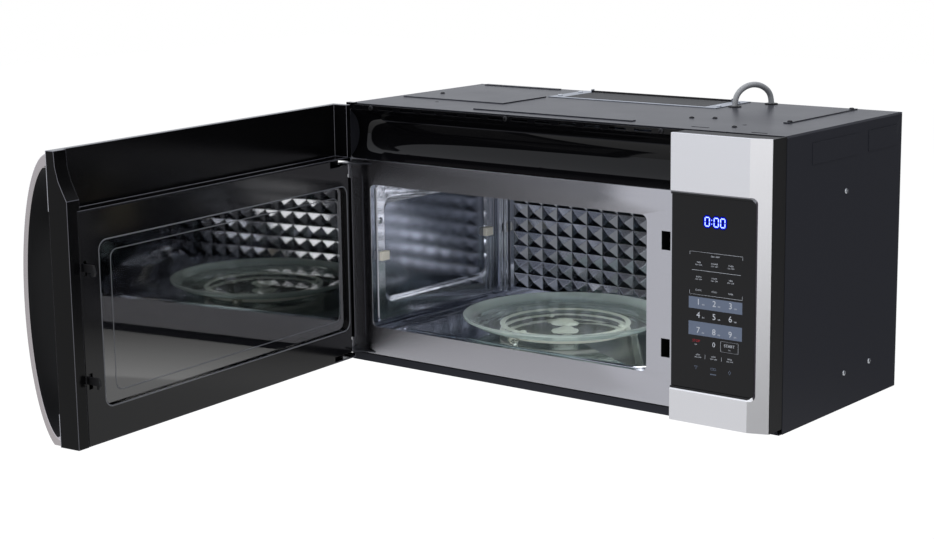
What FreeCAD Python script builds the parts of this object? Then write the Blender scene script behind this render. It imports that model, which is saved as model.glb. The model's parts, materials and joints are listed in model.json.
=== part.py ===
import FreeCAD, Part
import math
import os

import Sketcher

# Over the range microwave oven, millimetres. +X is to the right as one faces the front, +Y points to the
# wall and +Z up. The origin is on the wall face, mid-width, at the level of the cabinet's underside.
# The door is modelled closed and then placed open about its hinge.

doc = FreeCAD.newDocument("over_the_range_microwave")
sheet = doc.addObject("Spreadsheet::Sheet", "sizes")

SIZES = {
    # cabinet
    "width": "759",              # over the two side walls
    "height": "400",             # underside to top
    "depth": "327",              # wall face to the front edge of the side walls
    "wrap_sheet": "1",           # folded cabinet sheet
    "rear_sheet": "1",
    "base_sheet": "1",
    "face_sheet": "1",           # front frame
    "liner_sheet": "0.8",        # oven walls
    "corner_bevel": "2.5",       # folds of the cabinet sheet
    "face_proud": "9",           # front frame in front of the side walls
    "front_proud": "35",         # door and fascia in front of the front frame
    "face_low": "14",            # lower edge of the front frame
    "top_zone": "84",            # front frame's upper edge below the top
    "face_flange": "15",         # depth of the front frame's folded edges
    "face_short": "7",           # front frame's right end inside the cabinet's side
    "base_flange": "12",         # height of the base plate's front edge
    "seat_gap": "0.3",           # clearance between pieces that move past each other or only rest
    "running_gap": "0.05",       # radial clearance of pins and shafts
    "hole_gap": "0.2",           # radial clearance of screw holes
    "rib_high": "1.5",           # pressed ribs over the top sheet
    "rib_wide": "9",
    "press_high": "0.8",         # pressed fields on the side walls
    "hook_slot_wide": "40",      # slots in the rear panel for the wall plate
    "hook_slot_tall": "8",
    "hook_slot_low": "14",
    "hook_slot_out": "190",      # middle of each slot from mid-width
    "bolt_radius": "3.2",        # tapped holes for the bolts of the cupboard above
    "bolt_wall": "5",
    "bolt_nut": "8",
    "bolt_spread": "540",
    "bolt_in": "77",             # behind the front edge of the side walls
    # oven
    "stile_left": "46",          # cabinet's left side to the oven opening
    "post_wide": "60.5",         # oven opening to the fascia
    "opening_low": "57.5",
    "header": "37.5",            # front frame above the opening
    "opening_round": "9",        # corner radius
    "cavity_step": "6.5",        # oven walls stand back behind the opening's edge
    "back_space": "16",          # wall face to the oven's rear wall
    "stud_wide": "29.5",         # pitch of the pyramids on the rear wall
    "stud_tall": "23.3",
    "stud_high": "5",            # how far they stand into the oven
    "stud_margin": "37",         # oven's left wall to the first column
    "stud_low": "18.8",          # oven floor to the lowest row
    "rack_drop": "5",            # rack blocks' middle below the oven's
    "rack_proud": "8",
    "rack_wide": "18",
    "rack_tall": "14",
    "rack_in": "22",             # front blocks behind the front frame
    "rack_back": "17",           # rear blocks in front of the rear wall
    "lamp_hole": "1.8",          # light holes in the oven ceiling
    "air_hole": "3",             # holes in front of the hot air fan
    "hole_pitch": "8",
    # turntable
    "tray_margin": "1",          # glass tray to the front frame and the pyramids
    "tray_glass": "5",
    "tray_rim": "12",            # rise of the rim over the flat
    "tray_lip": "3",
    "tray_bowl": "36",           # width of the sloping edge
    "lug_side": "7",             # lugs under the tray
    "lug_deep": "5",
    "roller_radius": "7.7",
    "roller_wide": "8",
    "roller_track": "108",       # radius that the rollers' middles follow
    "ring_radius": "100",        # outer radius of the ring
    "ring_wide": "7",
    "ring_thick": "5",
    "axle_radius": "2.5",
    "axle_end": "2",             # axle past its roller
    "hub_radius": "12",
    "lobe_reach": "22",
    "lobe_wide": "9",
    "hub_floor": "4",            # hub above the oven floor
    "shaft_radius": "4",
    "table_motor_radius": "25",
    "table_motor_high": "20",
    "motor_floor": "5",
    # control side
    "fascia_wide": "150.5",      # fascia's left edge to the cabinet's right side
    "fold_wide": "29.5",         # folded edge of the fascia
    "fold_depth": "9.5",
    "front_low": "7.5",          # lower edge of door and fascia
    "fascia_sheet": "1",
    "control_glass_low": "55",
    "control_glass_drop": "82",  # glass's upper edge below the top
    "control_glass_in": "20.5",  # glass's right edge inside the cabinet's side
    "glass_round": "6",
    "glass_recess": "2.8",       # glass behind the steel surface
    "glass_thick": "3",
    "housing_wall": "2",
    "housing_lip": "3",          # housing's wall beside the front frame
    "board_thick": "1.6",
    "board_standoff": "12",
    "board_margin": "9",         # board to the housing's outline
    "post_radius": "3.5",
    "display_wide": "52",
    "display_tall": "26",
    "display_in": "37",          # display's left edge from the fascia's left edge
    "display_drop": "20",        # display's upper edge below the glass's
    # air guide and trim
    "guide_radius": "40",
    "guide_centre_out": "11",    # arc centre in front of the front frame
    "guide_sheet": "2",
    "guide_back": "1",           # air guide behind the front frame's surface
    "trim_tall": "9",            # strip between air guide and top
    "trim_back": "2",
    "trim_sheet": "1.5",
    "trim_tongue": "26",
    "trim_corner": "14",
    # door
    "door_open": "85",           # opening angle of the door as shown
    "door_gap": "2",             # door to fascia
    "hinge_in": "5",             # hinge line inside the cabinet's left side
    "hinge_out": "17.7",         # and in front of the front frame
    "hinge_drop": "7",           # upper plate below the front frame's upper edge
    "hinge_rise": "4",           # lower plate above its lower edge
    "hinge_pin": "2.2",
    "hinge_pin_long": "13",
    "hinge_plate": "2",
    "hinge_reach": "46",         # plate to the right of the hinge line
    "hinge_nose": "4.5",         # plate in front of the pin
    "hinge_block": "16",         # height of the door's bearing blocks
    "door_skin": "1",            # steel bands
    "door_wall": "2",
    "door_back_gap": "1.5",      # inner frame to the front frame
    "frame_in": "11.5",          # inner frame inside the cabinet's left side
    "frame_short": "21",         # inner frame's right end before the fascia
    "frame_deep": "20",
    "frame_sheet": "1",
    "recess_in": "6",            # window recess inside the inner frame's left end
    "recess_over": "4.5",        # recess beyond the oven opening, right
    "recess_under": "2.5",       # and below
    "recess_below_top": "1.5",   # recess's upper edge below the opening's
    "recess_round": "14",
    "recess_deep": "8",
    "lower_band": "45",          # height of the lower steel band
    "upper_band": "79",
    "upper_slab": "8",           # thickness of the door above its inner frame
    "rib_end_wide": "23",        # rib at the door's free end
    "rib_hinge_wide": "10",
    "carrier_margin": "15",      # window in the panel inside the glass's edge
    "cover_sheet": "0.8",
    # handle
    "handle_in": "31",           # middle of the handle left of the fascia
    "handle_wide": "50",
    "handle_top": "4",           # its upper end below the top
    "handle_drop": "7.5",        # its curve runs out this far below the door
    "handle_proud": "57",
    "handle_thick": "9",
    "handle_foot": "16",
    "grip_long": "180",          # grip between the handle's two feet
    # latch
    "hook_in": "29",             # hooks left of the fascia
    "hook_thick": "4",
    "hook_tall": "10",
    "hook_reach": "18.5",        # hook past the inner frame
    "hook_barb": "5",
    "hook_rise": "38.5",         # lower hook above the opening's lower edge
    "hook_drop": "32.5",         # upper hook below its upper edge
    "bar_deep": "12",
    "latch_travel": "4",
    "slot_wide": "14",
    "slot_tall": "26",
    "latch_deep": "34",
    "spring_long": "28",
    "spring_radius": "4.5",
    "spring_wire": "1",
    # magnetron and waveguide
    "wave_in": "47",             # waveguide behind the front frame
    "wave_long": "88",
    "wave_tall": "94",
    "wave_drop": "18",           # its lower edge below the oven's middle
    "wave_deep": "40",
    "wave_sheet": "1",
    "mica_thick": "0.5",
    "tube_long": "66",
    "tube_wide": "88",
    "tube_tall": "76",
    "tube_frame": "2",
    "tube_core": "19",
    "tube_fin": "1",
    "tube_fin_pitch": "6",
    "tube_box": "26",
    "antenna_radius": "7",
    "antenna_long": "26",
    # power parts on the base plate
    "core_wide": "90",
    "core_deep": "78",
    "core_tall": "76",
    "coil_over": "16",
    "coil_tall": "24",
    "coil_in": "20",
    "core_right": "26.5",        # inside the right side wall
    "core_back": "112",          # in front of the wall face
    "can_wide": "35",
    "can_deep": "90",
    "can_tall": "78",
    "can_left": "20",            # right of the oven's wall
    "can_back": "82",
    "mains_wide": "82",
    "mains_deep": "60",
    "mains_right": "6.5",
    "mains_back": "19",
    "mains_leg": "11",
    # ventilation blower
    "blower_over": "26",         # blower housing beyond the outlet at each end
    "blower_deep": "100",
    "scroll_wide": "104",
    "scroll_sheet": "1",
    "blower_strap": "1.5",
    "wheel_radius": "42",
    "wheel_rise": "51.5",        # wheel's axis above the strap
    "wheel_wall": "6",
    "wheel_gap": "14",           # wheel inside its scroll
    "wheel_disc": "2",
    "inlet_radius": "30",
    "vent_motor_radius": "34",
    "vent_motor_gap": "13",      # motor to each scroll
    # cooling fan
    "fan_size": "112",
    "fan_deep": "28",
    "fan_stand": "21",           # fan frame off the rear panel
    "fan_bore": "51",
    "fan_tip": "47",
    "fan_hub": "15",
    "fan_shaft": "2.5",
    "fan_in": "10.5",            # fan frame inside the right side wall
    "blade_thick": "1.5",
    # hot air unit
    "hot_margin": "42",          # its housing inside the oven's floor and ceiling
    "hot_deep": "42",
    "hot_sheet": "1",
    "hot_back": "89",            # its axis in front of the oven's rear wall
    "heater_in": "9",            # ring heater inside the housing
    "heater_tube": "3.5",
    "heater_lead": "3.2",
    "lead_pitch": "16",
    "hot_tip_in": "14",          # fan's tips inside the ring
    "hot_hub": "12",
    "hot_shaft": "3",
    "hot_motor_radius": "24",
    "hot_motor_long": "34",
    # exhaust and underside
    "outlet_shift": "15",        # outlet's middle left of mid-width
    "outlet_wide": "254",
    "outlet_deep": "82",
    "outlet_back": "15",
    "adapter_edge": "24",        # plate beside the outlet, at its ends
    "adapter_side": "9",         # and along it
    "adapter_sheet": "1",
    "ledge": "3",
    "damper_pin": "1.2",
    "damper_sheet": "0.8",
    "filter_outer": "8.8",       # far edge of each filter inside the oven's right wall
    "filter_front": "9",         # filters behind the lamp's hinge
    "filter_thick": "8",
    "filter_inner": "40",        # near edge of each filter from mid-width
    "filter_back": "40",
    "filter_slack": "1",
    "filter_rim": "8",
    "charcoal_left": "87.5",     # right of the oven's left wall
    "charcoal_gap": "18.5",      # charcoal filter to the oven lamp
    "charcoal_thick": "20",
    "charcoal_tall": "96",
    "charcoal_in": "42",         # behind the front edge of the side walls
    "lamp_wide": "116",
    "lamp_deep": "66",
    "lamp_glass": "3",
    "lamp_in": "84",             # lamp's hinge behind the front edge of the side walls
    "lamp_pin": "1.5",
    "lamp_slack": "0.4",
    "lamp_box": "29",
    "bulb_radius": "9",
    "oven_lamp_in": "45",        # left of the oven's right wall
    "oven_lamp_back": "65",      # behind the front frame
    "oven_lamp_box": "40",
    "oven_lamp_wide": "48",
    # fixings and cord
    "screw_radius": "2",
    "screw_head": "3.8",
    "screw_head_high": "2",
    "screw_long": "5",
    "cord_radius": "4.25",
    "bushing_wall": "3.5",
    "bushing_flange": "2",
    "bushing_lip": "1.5",
    "bushing_deep": "3",
}

OVER = 1          # how far a cutting block runs past the face that it opens
LAP = 0.5         # how far two parts of one piece overlap where they are joined


class Size:
    """A length that knows its number and its formula in terms of the sheet."""

    def __init__(self, number, formula):
        self.number = number
        self.formula = formula

    def __add__(self, other):
        return merge(self, "+", other)

    def __radd__(self, other):
        return merge(other, "+", self)

    def __sub__(self, other):
        return merge(self, "-", other)

    def __rsub__(self, other):
        return merge(other, "-", self)

    def __mul__(self, other):
        return merge(self, "*", other)

    def __rmul__(self, other):
        return merge(other, "*", self)

    def __truediv__(self, other):
        return merge(self, "/", other)

    def __neg__(self):
        return merge(0, "-", self)


def as_size(value):
    """Give a plain number the same two faces as a sheet size."""
    return value if isinstance(value, Size) else Size(float(value), repr(float(value)))


def merge(left, sign, right):
    """Join two sizes with one of the four basic signs."""
    left, right = as_size(left), as_size(right)
    numbers = {
        "+": lambda a, b: a + b,
        "-": lambda a, b: a - b,
        "*": lambda a, b: a * b,
        "/": lambda a, b: a / b,
    }
    return Size(numbers[sign](left.number, right.number), f"({left.formula} {sign} {right.formula})")


class Names:
    """The sheet's sizes as attributes."""


s = Names()
for row, (alias, text) in enumerate(SIZES.items(), start=1):
    sheet.set(f"A{row}", alias)
    sheet.set(f"B{row}", text)
    sheet.setAlias(f"B{row}", alias)
    setattr(s, alias, Size(float(text), f"sizes.{alias}"))
doc.recompute()

nodes = {}
ZERO = as_size(0)


def box(name, xs, ys, zs):
    """A block between two planes on each axis."""
    item = doc.addObject("Part::Box", name)
    for side, (low, high) in zip(("Length", "Width", "Height"), (xs, ys, zs)):
        item.setExpression(side, (as_size(high) - low).formula)
    return place(item, xs[0], ys[0], zs[0])


TURNS = {
    "x": FreeCAD.Rotation(FreeCAD.Vector(0, 1, 0), 90),
    "y": FreeCAD.Rotation(FreeCAD.Vector(1, 0, 0), -90),
    "z": FreeCAD.Rotation(),
}


def place(item, x, y, z, rotation=None):
    """Put an object at a point of the sheet."""
    if rotation is not None:
        item.Placement = FreeCAD.Placement(FreeCAD.Vector(), rotation)
    for axis, value in zip("xyz", (x, y, z)):
        item.setExpression(f"Placement.Base.{axis}", as_size(value).formula)
    return item


def rod(name, axis, across, radius, span):
    """A round bar along an axis; across holds its two other coordinates in X, Y, Z order."""
    item = doc.addObject("Part::Cylinder", name)
    item.setExpression("Radius", as_size(radius).formula)
    item.setExpression("Height", (as_size(span[1]) - span[0]).formula)
    start = {
        "x": (span[0], across[0], across[1]),
        "y": (across[0], span[0], across[1]),
        "z": (across[0], across[1], span[0]),
    }[axis]
    return place(item, *start, rotation=TURNS[axis])


def fuse(name, parts):
    """Join solids into one piece."""
    item = doc.addObject("Part::MultiFuse", name)
    item.Shapes = parts
    item.Refine = True
    return item


def cut(name, base, tools):
    """Take the tools away from the base."""
    item = doc.addObject("Part::Cut", name)
    item.Base = base
    item.Tool = tools[0] if len(tools) == 1 else fuse(name + "_tools", tools)
    item.Refine = True
    return item


def common(name, first, second):
    """Keep what two solids share."""
    item = doc.addObject("Part::Common", name)
    item.Base = first
    item.Tool = second
    return item


def grown(span, by):
    """A span made longer at both ends."""
    return (span[0] - by, span[1] + by)


def mirrored(name, near, far):
    """The same span on the left or on the right of mid-width."""
    return (-far, -near) if name == "left" else (near, far)


def sketch_on(body, role, outline, name):
    """A closed outline of straight lines, each corner tied to the sheet."""
    sketch = body.newObject("Sketcher::SketchObject", name)
    plane = [item for item in body.Origin.OriginFeatures if item.Role == role][0]
    sketch.AttachmentSupport = [(plane, "")]
    sketch.MapMode = "FlatFace"
    corners = [(as_size(u), as_size(v)) for u, v in outline]
    count = len(corners)
    for index, (u, v) in enumerate(corners):
        next_u, next_v = corners[(index + 1) % count]
        start = FreeCAD.Vector(u.number, v.number, 0)
        end = FreeCAD.Vector(next_u.number, next_v.number, 0)
        sketch.addGeometry(Part.LineSegment(start, end), False)
    for index in range(count):
        sketch.addConstraint(Sketcher.Constraint("Coincident", index, 2, (index + 1) % count, 1))
    for index, corner in enumerate(corners):
        for kind, value in zip(("DistanceX", "DistanceY"), corner):
            number = sketch.addConstraint(Sketcher.Constraint(kind, -1, 1, index, 1, value.number))
            sketch.setExpression(f"Constraints[{number}]", value.formula)
    return sketch


def pad(name, axis, outline, span):
    """A prism along an axis. The outline is in (Y, Z), (X, Z) or (X, Y)."""
    body = doc.addObject("PartDesign::Body", name)
    role = {"x": "YZ_Plane", "y": "XZ_Plane", "z": "XY_Plane"}[axis]
    step = body.newObject("PartDesign::Pad", name + "_pad")
    step.Profile = sketch_on(body, role, outline, name + "_outline")
    step.setExpression("Length", (as_size(span[1]) - span[0]).formula)
    step.Reversed = axis == "y"
    body.Tip = step
    body.setExpression(f"Placement.Base.{axis}", as_size(span[0]).formula)
    return body


def turned(name, profile, x, y, z):
    """A body of revolution about an upright axis from a (radius, height) outline."""
    body = doc.addObject("PartDesign::Body", name)
    step = body.newObject("PartDesign::Revolution", name + "_turn")
    sketch = sketch_on(body, "XZ_Plane", profile, name + "_profile")
    step.Profile = sketch
    step.ReferenceAxis = (sketch, ["V_Axis"])
    step.Angle = 360
    body.Tip = step
    return place(body, x, y, z)


def round_block(name, axis, xs, ys, zs, radius):
    """A block whose four edges along one axis are round."""
    spans = {"x": xs, "y": ys, "z": zs}
    first, second = [letter for letter in "xyz" if letter != axis]
    inner_first = grown(spans[first], -as_size(radius))
    inner_second = grown(spans[second], -as_size(radius))
    parts = [
        box(name + "_a", *[{**spans, first: inner_first}[letter] for letter in "xyz"]),
        box(name + "_b", *[{**spans, second: inner_second}[letter] for letter in "xyz"]),
    ]
    for u, v in ((0, 0), (0, 1), (1, 0), (1, 1)):
        parts.append(rod(f"{name}_corner_{u}{v}", axis, (inner_first[u], inner_second[v]), radius, spans[axis]))
    return fuse(name, parts)


def keep(name, item):
    """Name a finished piece of the cabinet after its node."""
    item.Label = name
    nodes[name] = item
    return item


def group(name, items):
    """Several equal pieces, or one piece with a place of its own, in one node."""
    item = doc.addObject("Part::Compound", name)
    item.Links = items
    return item


def keep_on_door(name, item):
    """Name a finished piece of the door and swing it open about the hinge line."""
    moved = group(name + "_on_door", [item])
    moved.Label = name
    x, y = hinge_x.formula, hinge_y.formula
    angle = "(sizes.door_open * 1deg)"
    moved.setExpression("Placement.Base.x", f"{x} - {x} * cos({angle}) - {y} * sin({angle})")
    moved.setExpression("Placement.Base.y", f"{y} + {x} * sin({angle}) - {y} * cos({angle})")
    moved.setExpression("Placement.Rotation.Angle", f"-{angle}")
    nodes[name] = moved
    return moved


# ---------------------------------------------------------------------------------------------------------
# Planes that several pieces share
# ---------------------------------------------------------------------------------------------------------

half = s.width / 2
inside = half - s.wrap_sheet                       # inner face of the side walls
under_top = s.height - s.wrap_sheet                # inner face of the top
rear_in = -s.rear_sheet
wrap_front = -s.depth
face_front = wrap_front - s.face_proud
face_back = face_front + s.face_sheet
front = face_front - s.front_proud                 # steel surface of door and fascia
panel_front = front + s.door_skin
face_left = -inside + s.seat_gap
face_right = half - s.face_short
face_high = s.height - s.top_zone

fascia_left = half - s.fascia_wide
fascia_right = inside - s.seat_gap
fold_line = half - s.fold_wide
mouth_left = -half + s.stile_left                  # oven opening in the front frame
mouth_right = fascia_left - s.post_wide
mouth_high = face_high - s.header

oven_left = mouth_left - s.cavity_step
oven_right = mouth_right + s.cavity_step
oven_low = s.opening_low - s.cavity_step
oven_high = mouth_high + s.cavity_step
oven_middle = (oven_low + oven_high) / 2
oven_back = -s.back_space
liner_left = oven_left - s.liner_sheet
liner_right = oven_right + s.liner_sheet
liner_low = oven_low - s.liner_sheet
liner_high = oven_high + s.liner_sheet

guide_high = s.height - s.trim_tall
trim_front = face_front + s.trim_back
control_glass_high = s.height - s.control_glass_drop
control_glass_right = half - s.control_glass_in

hinge_x = -half + s.hinge_in
hinge_y = face_front - s.hinge_out
hinge_high = face_high - s.hinge_drop
hinge_low = s.face_low + s.hinge_rise
door_left = -half + s.seat_gap
door_right = fascia_left - s.door_gap
door_back = face_front - s.door_back_gap           # inner frame's face towards the oven
frame_left = -half + s.frame_in
frame_right = fascia_left - s.frame_short
band_low = s.front_low + s.lower_band
band_high = s.height - s.upper_band

hook_x = fascia_left - s.hook_in
hook_high = mouth_high - s.hook_drop
hook_low = s.opening_low + s.hook_rise
HOOKS = (("high", hook_high), ("low", hook_low))
hook_xs = (hook_x - s.hook_thick / 2, hook_x + s.hook_thick / 2)

outlet_left = -s.outlet_shift - s.outlet_wide / 2
outlet_right = outlet_left + s.outlet_wide
outlet_back = -s.outlet_back
outlet_front = outlet_back - s.outlet_deep
adapter_top = s.height + s.adapter_sheet
adapter_left = outlet_left - s.adapter_edge
adapter_right = outlet_right + s.adapter_edge

bolt_y = wrap_front + s.bolt_in
lamp_y = wrap_front + s.lamp_in
lamp_axis_z = s.lamp_glass + s.seat_gap

# places of the small screws: (x, y) on the top, (y, z) on the side walls, (x, z) on the trim
right_rib = half - 70.5
TOP_SCREWS = [
    (half - 213.5, wrap_front + 108), (half - 183.5, wrap_front + 121), (half - 109.5, wrap_front + 50),
    (-half + 39.5, wrap_front + 177),
]
RIB_SCREWS = [(right_rib, wrap_front + 131), (right_rib, rear_in - 17)]
SIDE_SCREWS = [(rear_in - 162.5, s.height - 92.4), (rear_in - 157, as_size(50.5)), (rear_in - 82.7, as_size(53))]
TRIM_SCREWS = [(-half + 49.5, s.height - 5), (-s.outlet_shift - 60, s.height - 5), (fascia_left - 39, s.height - 5)]
ADAPTER_SCREWS = [
    (x, y) for x in (adapter_left + 8, adapter_right - 8) for y in (outlet_front + 13, outlet_back - 15)
]
CORD_ENDS = [(adapter_right + 11, outlet_front + 26), (adapter_right + 38, outlet_back + 3)]
bushing_neck = s.cord_radius + s.bushing_wall


# ---------------------------------------------------------------------------------------------------------
# Cabinet shell
# ---------------------------------------------------------------------------------------------------------

def make_outer_wrap():
    """Folded sheet over both sides and the top, with pressed ribs, nuts and openings."""
    bevel = s.corner_bevel
    outline = [
        (-half, 0), (-half, s.height - bevel), (-half + bevel, s.height), (half - bevel, s.height),
        (half, s.height - bevel), (half, 0), (inside, 0), (inside, under_top - bevel),
        (inside - bevel, under_top), (-inside + bevel, under_top), (-inside, under_top - bevel), (-inside, 0),
    ]
    rib = s.height + s.rib_high
    wide = s.rib_wide
    cross_x, cross_y = adapter_left - 8, wrap_front + 105
    ribs = {
        "front_left": ((-half + 19.5, cross_x), (cross_y, cross_y + wide)),
        "cross": ((cross_x, cross_x + wide), (cross_y, outlet_front - s.adapter_side - 6)),
        "rear_left": ((-half + 19.5, adapter_left - 46), (rear_in - 15, rear_in - 15 + wide)),
        "right": ((right_rib - wide / 2, right_rib + wide / 2), (wrap_front + 121, rear_in - 7)),
        "front": ((outlet_left - 18, outlet_right + 8), (wrap_front + 27, wrap_front + 27 + wide)),
    }
    parts = [pad("wrap_shell", "y", outline, (wrap_front, rear_in))]
    for name, (xs, ys) in ribs.items():
        parts.append(box("rib_" + name, xs, ys, (under_top, rib)))
    nut_x = s.bolt_spread / 2
    for side, sign in (("left", -1), ("right", 1)):
        span = mirrored(side, inside, half + s.press_high)
        upper = (s.height - 45, s.height - 16)
        parts.append(box(f"press_front_{side}", span, (wrap_front + 67, wrap_front + 197), upper))
        parts.append(box(f"press_rear_{side}", span, (rear_in - 100, rear_in - 16), upper))
        parts.append(rod(f"nut_{side}", "z", (nut_x * sign, bolt_y), s.bolt_radius + s.bolt_wall,
                         (under_top - s.bolt_nut, under_top)))
    tools = [box("wrap_outlet", grown((outlet_left, outlet_right), -s.ledge),
                 grown((outlet_front, outlet_back), -s.ledge), (under_top - OVER, s.height + OVER))]
    for side, sign in (("left", -1), ("right", 1)):
        tools.append(rod(f"tapped_{side}", "z", (nut_x * sign, bolt_y), s.bolt_radius,
                         (under_top - s.bolt_nut - OVER, s.height + OVER)))
    hole = s.screw_radius + s.hole_gap
    for index, spot in enumerate(TOP_SCREWS + RIB_SCREWS + ADAPTER_SCREWS):
        tools.append(rod(f"top_hole_{index}", "z", spot, hole, (under_top - OVER, rib + OVER)))
    for index, spot in enumerate(SIDE_SCREWS):
        tools.append(rod(f"side_hole_{index}", "x", spot, hole, grown((-half, half), OVER)))
    for index, spot in enumerate(CORD_ENDS):
        tools.append(rod(f"cord_hole_{index}", "z", spot, bushing_neck + s.seat_gap,
                         (under_top - OVER, rib + OVER)))
    for index, (x, y, long) in enumerate(((half - 161.5, wrap_front + 22, 28), (half - 61.5, wrap_front + 11, 24))):
        tools.append(box(f"top_slot_{index}", (x, x + long), (y, y + 5), (under_top - OVER, s.height + OVER)))
    keep("outer_wrap", cut("outer_wrap", fuse("wrap_body", parts), tools))


def make_rear_panel():
    """Flat plate against the wall, with two slots for the wall plate's hooks and louvres by the fan."""
    plate = box("rear_sheet_body", (-half, half), (rear_in, 0), (0, s.height))
    through = (rear_in - OVER, as_size(OVER))
    tools = []
    slot_half = s.hook_slot_wide / 2
    round_end = s.hook_slot_tall / 2
    slot_zs = (s.hook_slot_low, s.hook_slot_low + s.hook_slot_tall)
    for side in ("left", "right"):
        ends = grown(mirrored(side, s.hook_slot_out - slot_half, s.hook_slot_out + slot_half), -round_end)
        tools.append(box(f"hook_slot_{side}", ends, through, slot_zs))
        for number, x in enumerate(ends):
            tools.append(rod(f"hook_slot_{side}_{number}", "y", (x, s.hook_slot_low + round_end), round_end, through))
    for index in range(8):
        x = cool_x - 44.5 + 12 * index
        tools.append(box(f"rear_louvre_{index}", (x, x + 5), through, (cool_z - 40, cool_z + 40)))
    keep("rear_panel", cut("rear_panel", plate, tools))


def make_base_plate():
    """Underside with a folded front edge, filter wells, the lamp window and an air inlet."""
    top = s.base_sheet
    edge = (trim_front, trim_front + s.base_sheet)
    parts = [
        box("base_sheet_body", (-inside, inside), (edge[0], rear_in), (0, top)),
        box("base_front_edge", (-inside, half - LAP - s.housing_lip - s.seat_gap), edge, (0, s.base_flange)),
    ]
    tools = []
    well_top = s.filter_thick + 2 * s.seat_gap
    for side in ("left", "right"):
        xs = mirrored(side, s.filter_inner, liner_right - s.filter_outer)
        parts.append(box(f"well_{side}", grown(xs, s.filter_slack + s.base_sheet),
                         grown(filter_ys, s.filter_slack + s.base_sheet), (0, well_top + s.base_sheet)))
        tools.append(box(f"well_hole_{side}", grown(xs, s.filter_slack), grown(filter_ys, s.filter_slack),
                         (-OVER, well_top)))
        tools.append(box(f"well_air_{side}", grown(xs, -s.filter_rim), grown(filter_ys, -s.filter_rim),
                         (-OVER, well_top + s.base_sheet + OVER)))
        ear = mirrored(side, lamp_half + s.lamp_slack, lamp_half + s.lamp_slack + 3.5)
        parts.append(box(f"lamp_ear_{side}", ear, (lamp_y - 4, lamp_y + 4), (0, lamp_axis_z + 4.5)))
        tools.append(rod(f"lamp_ear_hole_{side}", "x", (lamp_y, lamp_axis_z), s.lamp_pin + s.running_gap,
                         grown(ear, OVER)))
    tools.append(box("lamp_window", grown((-lamp_half, lamp_half), s.lamp_slack),
                     (lamp_y - s.lamp_deep - 1, lamp_y + 5), (-OVER, top + OVER)))
    for index in range(8):
        x = half - 159.5 + 16 * index
        tools.append(box(f"inlet_{index}", (x, x + 7), (wrap_front + 17, wrap_front + 77), (-OVER, top + OVER)))
    keep("base_plate", cut("base_plate", fuse("base_body", parts), tools))


filter_ys = (lamp_y + s.filter_front, -s.filter_back)
lamp_half = s.lamp_wide / 2


def make_face_plate():
    """Steel front frame: a shallow pan with the oven opening and the latch slots."""
    low, high = s.face_low, face_high
    flange_back = face_back + s.face_flange
    sheet_in = -s.face_sheet
    pan = cut("face_pan", box("face_block", (face_left, face_right), (face_front, flange_back), (low, high)),
              [box("face_inside", grown((face_left, face_right), sheet_in), (face_back, flange_back + OVER),
                   grown((low, high), sheet_in))])
    through = grown((face_front, face_back), OVER)
    tools = [round_block("oven_mouth", "y", (mouth_left, mouth_right), through, (s.opening_low, mouth_high),
                         s.opening_round)]
    for name, z in HOOKS:
        tools.append(box(f"latch_slot_{name}", grown((hook_x, hook_x), s.slot_wide / 2), through,
                         grown((z, z), s.slot_tall / 2)))
    tools.append(box("wiring_window", (fascia_left + 21, face_right - 12), through, (low + 46, high - 16)))
    keep("face_plate", cut("face_plate", pan, tools))


def make_vent_panel():
    """Concave air guide between the front frame and the trim."""
    centre = (face_front - s.guide_centre_out, (face_high + guide_high) / 2)
    span = (face_left, fascia_left - s.seat_gap)
    tube = cut("guide_tube", rod("guide_outer", "x", centre, s.guide_radius + s.guide_sheet, span),
               [rod("guide_inner", "x", centre, s.guide_radius, grown(span, OVER))])
    window = box("guide_window", span, (face_front + s.guide_back, face_front + 2 * s.guide_radius),
                 (face_high + s.seat_gap, guide_high))
    keep("vent_panel", common("vent_panel", tube, window))


def make_top_trim():
    """Slotted strip between the air guide and the top sheet, with a corner piece at its left end."""
    span = (face_left, fascia_left - s.seat_gap)
    low, high = guide_high + s.seat_gap, under_top - s.seat_gap
    ys = (trim_front, trim_front + s.trim_sheet)
    parts = [
        box("trim_strip", span, ys, (low, high)),
        box("trim_tongue", (face_left + s.corner_bevel + 1, span[1]), (trim_front, trim_front + s.trim_tongue),
            (high - s.trim_sheet, high)),
        box("trim_corner", (face_left, face_left + s.trim_corner), (face_front, wrap_front - s.seat_gap),
            (low, s.height + s.trim_sheet)),
    ]
    tools = []
    for index in range(12):
        x = -half + 63.5 + 42 * index
        tools.append(box(f"trim_slot_{index}", (x, x + 28), grown(ys, s.seat_gap), (low + 1.5, low + 4.5)))
    for index, spot in enumerate(TRIM_SCREWS):
        tools.append(rod(f"trim_hole_{index}", "y", spot, s.screw_radius + s.hole_gap, grown(ys, OVER)))
    keep("top_trim", cut("top_trim", fuse("trim_body", parts), tools))


# ---------------------------------------------------------------------------------------------------------
# Oven
# ---------------------------------------------------------------------------------------------------------

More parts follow.
